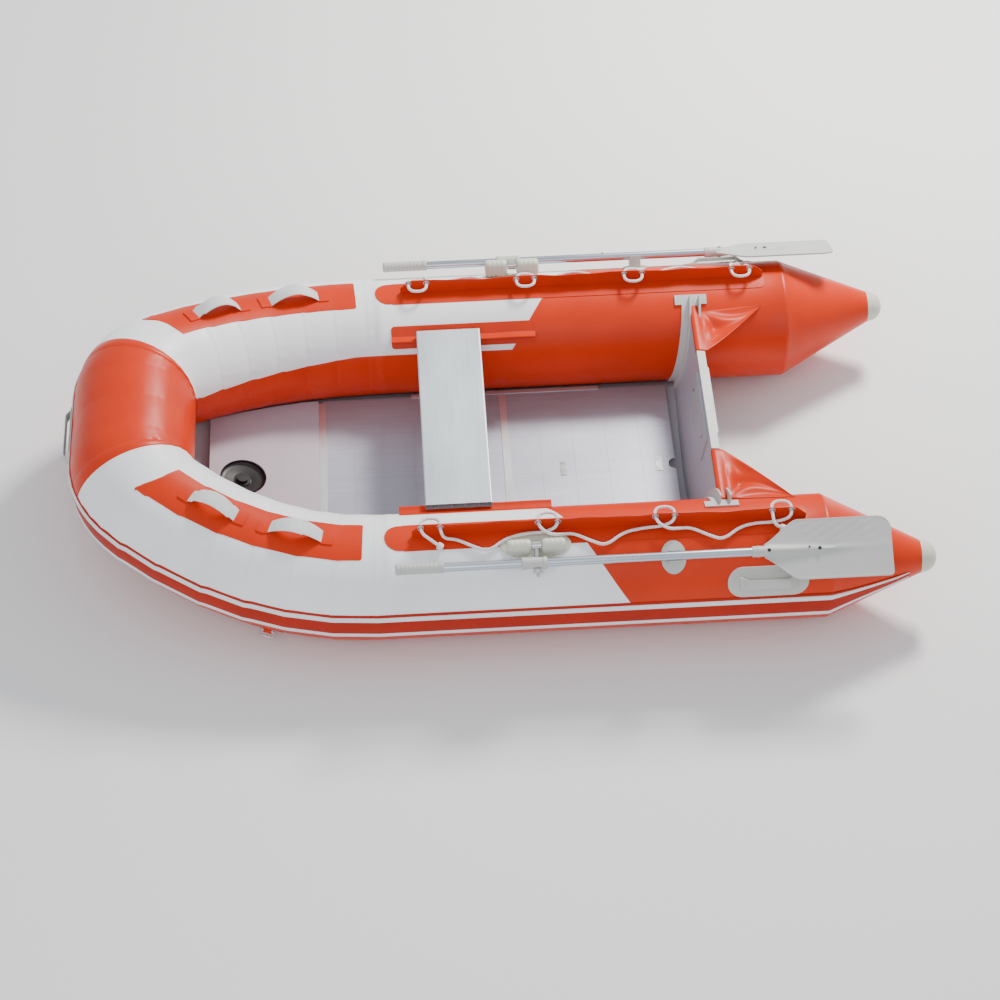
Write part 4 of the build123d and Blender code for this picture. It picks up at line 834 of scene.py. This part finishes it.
# ---- oars ----
WIDTH = Vector((0, math.cos(math.radians(30)), -math.sin(math.radians(30))))
AWAY = Vector((0, math.sin(math.radians(30)), math.cos(math.radians(30))))


def on_oar(x, out=0.0, lift=0.0, side=1):
    p = row(x, CENTRE_Y + OAR_Y, TUBE_R + OAR_Z) + WIDTH * out + AWAY * lift
    return Vector((p.x, p.y * side, p.z))


def blade_outline(x):
    """Inboard and outboard edge of the blade at x, measured from the shaft's axis."""
    x0, end, shoulder, half = 0.140, 0.455, 0.567, 0.101
    if x >= end:
        f = (x - end) / (shoulder - end)
        w = half + (0.020 - half) * (ease(f) * 0.35 + f * 0.65)
        return -w, w
    d = x - x0
    inner = -(half - 0.044 + math.sqrt(max(0.0, 0.044 ** 2 - max(0.0, 0.044 - d) ** 2)))
    outer = half - 0.014 + math.sqrt(max(0.0, 0.014 ** 2 - max(0.0, 0.014 - d) ** 2))
    return inner, outer


def blades(side, word):
    build = Build()
    xs = [0.1402, 0.1415, 0.144, 0.148, 0.154, 0.162, 0.172, 0.184] + [0.20 + 0.0125 * k for k in range(30)]
    n = 40

    def height(x, g, inner, outer):
        """Half thickness: a thin plate, a thicker rim, ribs on the inboard half and the spine."""
        out = inner + (outer - inner) * g
        rim = min(out - inner, outer - out, x - 0.1395)
        h = 0.0021 + 0.0009 * math.exp(-(rim - 0.003) ** 2 / 0.003 ** 2)
        spine = 0.0175 * (1 - (0.567 - x) / 0.42) if x > 0.165 else 0.0
        spine = max(0.003, spine)
        if abs(out) < spine:
            h = max(h, math.sqrt(max(0.0, spine ** 2 - out ** 2)))
        else:
            h += 0.002 * math.exp(-(abs(out) - spine) / 0.006)
        if out < -0.022 and 0.185 < x < 0.43 and rim > 0.010:
            phase = (x + out * 0.55) / 0.0165
            h += 0.0017 * max(0.0, math.cos(2 * math.pi * phase)) ** 2
        return h
    rows = []
    for x in xs:
        inner, outer = blade_outline(x)
        ring = []
        for face, steps in ((1, range(n + 1)), (-1, range(n, -1, -1))):
            for j in steps:
                g = 0.5 - 0.5 * math.cos(math.pi * j / n)
                lift = face * height(x, g, inner, outer) * (0.25 if j in (0, n) else 1)
                ring.append(on_oar(x, inner + (outer - inner) * g, lift, side))
        rows.append(ring)
    build.grid(rows, wrap=True, caps=True, flip=side < 0)
    # the socket, with a lip and two grip rings
    socket = [on_oar(x, side=side)
              for x in (0.545, 0.565, 0.570, 0.578, 0.580, 0.586, 0.588, 0.594, 0.601, 0.603)]
    build.rod(socket, [0.0175, 0.0180, 0.0180, 0.0180, 0.0190, 0.0190, 0.0180, 0.0180, 0.0180, 0.0170], 32)
    for x, out, r, lift in ((0.549, 0.0, 0.0042, 0.0179), (0.415, -0.006, 0.0022, 0.0135),
                            (0.381, 0.0, 0.0042, 0.0110)):
        for sign in (1, -1):
            ring = [on_oar(x + 1.6 * r * c, out + 1.6 * r * s, sign * lift, side) for c, s in circle(16)]
            build.rod(ring + ring[:1], 0.0007, 6, caps=False)
            profile = ((1.6 * r, -0.0030), (1.6 * r, 0.0004), (1.3 * r, 0.0004), (0.2 * r, 0.0002))
            well = [[on_oar(x + q * c, out + q * s, sign * (lift + h), side) for c, s in circle(16)]
                    for q, h in profile]
            build.grid(well, wrap=True, caps=True, mat=1)
    build.make(f"oar_blade_{word}", [BLADE, BLACK], f"oar_{word}", [f"oar_{word}_blade"], "blade_plastic",
               angle=50)


def grips(side, word):
    build = Build()
    xs = [1.616, 1.617, 1.620, 1.632, 1.634]
    rs = [0.0160, 0.0180, 0.0185, 0.0185, 0.0172]
    for k in range(9):
        x = 1.640 + 0.0135 * k
        xs += [x, x + 0.002, x + 0.0095, x + 0.0115]
        rs += [0.0172, 0.0180, 0.0180, 0.0172]
    xs += [1.764, 1.768, 1.774, 1.776]
    rs += [0.0185, 0.0190, 0.0178, 0.0145]
    build.rod([on_oar(x, side=side) for x in xs], rs, 36)
    build.make(f"oar_grip_{word}", [GREY], f"oar_{word}", [f"oar_{word}_grip"], "grip_plastic", angle=60)
    collar = Build()
    xs = (1.277, 1.278, 1.282, 1.290, 1.291, 1.349, 1.350, 1.358, 1.362, 1.363)
    rs = (0.0170, 0.0200, 0.0215, 0.0215, 0.0195, 0.0195, 0.0215, 0.0215, 0.0200, 0.0170)
    collar.rod([on_oar(x, side=side) for x in xs], list(rs), 36)
    collar.make(f"oar_collar_ring_{word}", [GREY], f"oar_{word}", [f"oar_{word}_collar"], "grip_plastic",
                angle=60)


# ---- oarlock bases, clips and carry handles ----
def oarlock_bases():
    build = Build()
    radial = Vector((0, AXLE_Y, AXLE_Z)).normalized()
    across = Vector((0, -radial.z, radial.y))
    axle = row(0, CENTRE_Y + AXLE_Y, TUBE_R + AXLE_Z)
    n, length = 22, 0.080
    for side in (1, -1):
        pad(build, 1.193, 1.427, 73.0, oval(1.310, 0.117, 0.050), TUBE_R, 0.0046, side, 56, edge=0.004,
            dome=0.0022)
        for x0 in (PIVOT_X + 0.017, PIVOT_X - 0.097):
            rows = []
            for f in [k / n for k in range(n + 1)]:
                soft = quarter_round(min(f, 1 - f) * length, 0.012)
                rib = 0.0016 * max(0.0, math.cos(2 * math.pi * f * 5)) if 0.12 < f < 0.88 else 0.0
                r = 0.0215 * (0.62 + 0.38 * soft) + rib
                line = []
                for c, s in circle(28):
                    y, z = r * c, r * s
                    down = -min(0.0, z)
                    p = axle + across * (y * (1.0 + 0.55 * down / r)) + radial * (z - down * 0.85)
                    line.append(Vector((x0 + length * f - MID, p.y * side, p.z)))
                rows.append(line)
            build.grid(rows, wrap=True, caps=True, flip=side < 0)
    build.make("oarlock_base_lobes", [BEIGE], "hull", ["oarlock_bases"], "grey_rubber", angle=60)


def carry_handles():
    """An oval moulding on the outside of each tube with a raised bar to hold."""
    build = Build()
    s0, s1, middle, n = 0.412, 0.682, 28.5, 44
    s2, s3 = s0 + 0.022, s1 - 0.022
    for side in (1, -1):
        pad(build, s0, s1, middle, rounded(s0, s1, 0.0525, 0.0520), TUBE_R, 0.0038, side, 60, edge=0.004,
            dome=0.0012)
        pad(build, s2, s3, middle, rounded(s2, s3, 0.032, 0.0315), 0.2134, 0.0035, side, 50)
        rows = []
        for f in [k / n for k in range(n + 1)]:
            rise = min(1.0, max(0.0, min(f, 1 - f) / 0.16))
            lift, half = 0.0170 * ease(rise), 0.0150 + 0.008 * (1 - rise)
            rows.append([surf(0.4525 + 0.189 * f, middle + math.degrees(squared(c, 0.6) * half / TUBE_R),
                              0.2140 + lift + 0.0064 * (1 + z) - 0.002 * (1 - rise), side)
                         for c, z in circle(20)])
        build.grid(rows, wrap=True, caps=True, flip=side > 0)
    build.make("carry_handle_mouldings", [GREY], "hull", ["carry_handles"], "grey_plastic", angle=55)


def oar_clips():
    build = Build()
    angle = math.degrees(math.atan2(OAR_Z, OAR_Y))
    reach = math.hypot(OAR_Y, OAR_Z)
    for side in (1, -1):
        pad(build, 0.816, 0.900, angle, oval(0.858, 0.042, 0.056), TUBE_R, 0.0034, side, 40, edge=0.003,
            dome=0.0015)
        inner, outer = 0.0153, 0.0202
        normal = Vector((0, math.cos(math.radians(angle)), math.sin(math.radians(angle))))
        tangent = Vector((0, -normal.z, normal.y))
        centre = row(0, CENTRE_Y, TUBE_R) + normal * reach
        arm = [(outer * 1.02, 0.2125 - reach), (outer, -0.010), (outer, 0.0), (outer * 0.99, 0.0025),
               (inner + 0.0012, 0.0028), (inner, 0.0015)]
        section = [(-u, v) for u, v in arm]
        section += [(inner * math.cos(math.radians(a)), inner * math.sin(math.radians(a)))
                    for a in range(180, 361, 15)]
        section += arm[::-1]
        rows = []
        for x, k in ((0.838, 0.96), (0.8395, 1.0), (0.8765, 1.0), (0.878, 0.96)):
            line = []
            for u, v in section:
                wide = u * (1 if abs(u) <= inner + 1e-6 else k)
                y, z = (centre + tangent * wide + normal * v).y, (centre + tangent * u + normal * v).z
                line.append(Vector((x - MID, y * side, z)))
            rows.append(line)
        build.grid(rows, wrap=True, caps=True, flip=side > 0)
    build.make("oar_clip_jaws", [GREY], "hull", ["oar_clips"], "grey_plastic", angle=40)


def bow_eye():
    build = Build()
    stem = AXIS[-1]

    def on_stem(y, angle, r):
        a = math.radians(angle)
        return row(stem.x + r * math.cos(a), y, stem.z + r * math.sin(a))
    outline = ((-1.0, 0.2176), (-0.97, 0.2195), (-0.9, 0.2205), (-0.5, 0.2208), (0, 0.2209), (0.5, 0.2208),
               (0.9, 0.2205), (0.97, 0.2195), (1.0, 0.2176))
    rows = []
    for y in [-0.125 + 0.250 * k / 24 for k in range(25)]:
        half = 11.3 * (0.35 + 0.65 * quarter_round(min(y + 0.125, 0.125 - y), 0.035))
        rows.append([on_stem(y, share * half, r) for share, r in outline])
    build.grid(rows, flip=True)
    rows = []
    for y in [-0.122 + 0.244 * k / 32 for k in range(33)]:
        rise = min(1.0, max(0.0, (0.122 - abs(y)) / 0.034))
        r = 0.2190 + 0.0176 * ease(rise)
        rows.append([on_stem(y, squared(z, 0.6) * 4.9, r + 0.0029 * c) for c, z in circle(20)])
    build.grid(rows, wrap=True, caps=True)
    build.make("bow_eye_moulding", [GREY], "hull", ["bow_tow_eye"], "grey_plastic", angle=55)


def keel_line(x):
    bend, end, slope = 2.040, 2.420, 0.137
    if x <= bend:
        return 0.001
    if x <= end:
        return 0.001 + slope * (x - bend)
    start = 0.001 + slope * (end - bend)
    return start + (AXIS[-1].z - TUBE_R - 0.004 - start) * (x - end) / (AXIS[-1].x - 0.020 - end)


def hull_cloth():
    """The bottom's fabric from tube to tube: a shallow vee that turns up under the bow and sags a little."""
    keels = [0.650, 0.900, 1.200, 1.500, SEAM_X]
    ends = [surf(s, 232.0, 0.2116) for s in keels]
    bow = ((2, 0.0, 233, 2.040), (3, 0.0, 236, 2.110), (4, 0.0, 239, 2.220), (5, 0.0, 242, 2.330),
           (6, 0.2, 245, 2.420), (7, 0.6, 252, 2.500), (9, 0.5, 262, 2.600))
    for node, share, angle, x in bow:
        ends.append(surf(STARTS[node + 1] + LENGTHS[node + 1] * share, angle, 0.2120))
        keels.append(x)
    rows = []
    for end, x in zip(ends, keels):
        keel = row(x, 0, keel_line(x))
        line = []
        for j in range(-12, 13):
            f = abs(j) / 12
            p = keel.lerp(end, f)
            p.z -= 0.0030 * math.sin(math.pi * f) if p.z > 0.008 else 0.0
            p.z = max(p.z, 0.0008)
            p.y = math.copysign(p.y, j)
            line.append(p)
        rows.append(line)
    fine = []
    for a, b in zip(rows, rows[1:]):
        for k in range(5):
            fine.append([p.lerp(q, k / 5) for p, q in zip(a, b)])
    fine.append(rows[-1])
    build = Build()
    build.grid(fine)
    cloth = build.make("hull_bottom_cloth", [HULL_CLOTH], "hull", ["hull_bottom"], "floor_fabric")
    thick = cloth.modifiers.new("cloth", "SOLIDIFY")
    thick.thickness, thick.offset = 0.0012, 1.0


def keel_and_well():
    """The inflated keel under the floor, with its seam and nose, and the rubber well round its valve,
    coloured near black as painted shade inside the bow board's hole.
    """
    build = Build()
    points, radii = [], []
    for k in range(61):
        x = 0.768 + (2.400 - 0.768) * k / 60
        z = 0.032 + 0.137 * max(0.0, x - 2.040)
        edge = min(x - 0.768, 2.400 - x)
        points.append(row(x, 0, z))
        radii.append(0.029 * quarter_round(edge, 0.03, 0.02) - 0.0004 * (k % 2))
    build.rod(points, radii, 40)
    seam = [p + Vector((0, 0, r)) for p, r in zip(points, radii) if r > 0.027]
    build.rod(seam, 0.0008, 8)
    build.make("keel_chamber", [HULL_CLOTH], "hull", ["keel_tube"], "floor_fabric", angle=70)
    well = Build()
    centre = row(2.306, 0, 0.0975)
    slope = math.atan(0.137)
    u, w = Vector((math.cos(slope), 0, math.sin(slope))), Vector((-math.sin(slope), 0, math.cos(slope)))
    profile = ((0.0775, 0.0165), (0.0795, 0.0172), (0.0805, 0.0160), (0.0800, 0.0080), (0.0760, 0.0035),
               (0.0640, 0.0010), (0.0330, 0.0004), (0.0318, 0.0000))
    well.grid([[centre + u * (r * c) + Vector((0, r * s, 0)) + w * h for c, s in circle(64)]
               for r, h in profile],
              wrap=True, flip=True)
    # the cup's near-black colour is painted shade inside the bow board's hole round the keel valve
    ring = well.make("keel_valve_well", [WELL_PAINTED_SHADE], "hull", [], "valve_plastic", angle=60)
    thick = ring.modifiers.new("rubber", "SOLIDIFY")
    thick.thickness, thick.offset = 0.001, -1.0


# ---- CAD nodes that stay, with their own finishes ----
def dress():
    """Finishes by name, where SIDE stands for port and for starboard."""
    finishes = (
        (FLOOR_ALU, "floor_panel_front floor_panel_rear"), (EDGE_ALU, "floor_joiners"),
                (SIDE_ALU, "floor_stringers"),
        (STEEL, "floor_plates fasteners oarlock_axles tow_ring_SIDE oarlock_pin_SIDE"),
                (BOW_FLOOR, "bow_board"),
        (BOARD, "transom_board"), (HOLDER, "transom_trim transom_holders"), (PAD, "motor_plates"),
        (BENCH_ALU, "bench_board bench_end_profiles"), (PATCH, "tow_ring_patches"),
                (HULL_CLOTH, "tube_baffles"),
        (GREY, "oarlock_knob_SIDE oar_SIDE_button"), (SHAFT_ALU, "oar_SIDE_shaft_upper oar_SIDE_shaft_lower"),
        (BLACK, "valve_bodies valve_cap_bow valve_cap_keel valve_cap_SIDE"),
    )
    for finish, names in finishes:
        for name in sorted({name.replace("SIDE", word) for name in names.split() for _, word in SIDES}):
            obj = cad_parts[name]
            obj.data.materials.clear()
            obj.data.materials.append(finish)
            sharpen(obj, 32)


tubes()
cone_caps()
rub_strake()
bow_handles()
lifeline_flaps()
eyelets()
bench_rails()
gussets()
for side, word in SIDES:
    blades(side, word)
    grips(side, word)
oarlock_bases()
oar_clips()
carry_handles()
bow_eye()
hull_cloth()
keel_and_well()
dress()


# ---- floor and light ----
def studio():
    mesh = bpy.data.meshes.new("studio_floor")
    reach, drop = 40.0, -0.0005
    corners = [(-reach, -reach, drop), (reach, -reach, drop), (reach, reach, drop), (-reach, reach, drop)]
    mesh.from_pydata(corners, [], [(0, 1, 2, 3)])
    ground = bpy.data.objects.new("studio_floor", mesh)
    bpy.context.scene.collection.objects.link(ground)
    paint = Paint("studio_floor_paint")
    paint.set({"Base Color": (0.86, 0.86, 0.86, 1), "Roughness": 0.9})
    mesh.materials.append(paint.mat)
    world = bpy.data.worlds.new("studio_world")
    bpy.context.scene.world = world
    world.use_nodes = True
    world.node_tree.nodes["Background"].inputs["Color"].default_value = (0.93, 0.96, 1.0, 1)
    world.node_tree.nodes["Background"].inputs["Strength"].default_value = 0.80
    lights = (("key", (-2.6, -3.4, 4.4), 1.2, 560.0, (1.0, 0.96, 0.90)),
              ("fill", (1.5, 5.0, 4.5), 4.0, 120.0, (0.94, 0.97, 1.0)))
    for name, spot, size, energy, color in lights:
        light = bpy.data.lights.new(name, "AREA")
        light.size = size
        light.energy = energy
        light.color = color
        obj = bpy.data.objects.new(name, light)
        bpy.context.scene.collection.objects.link(obj)
        obj.location = spot
        obj.rotation_mode = "QUATERNION"
        obj.rotation_quaternion = (-Vector(spot)).to_track_quat("-Z", "Y")


studio()
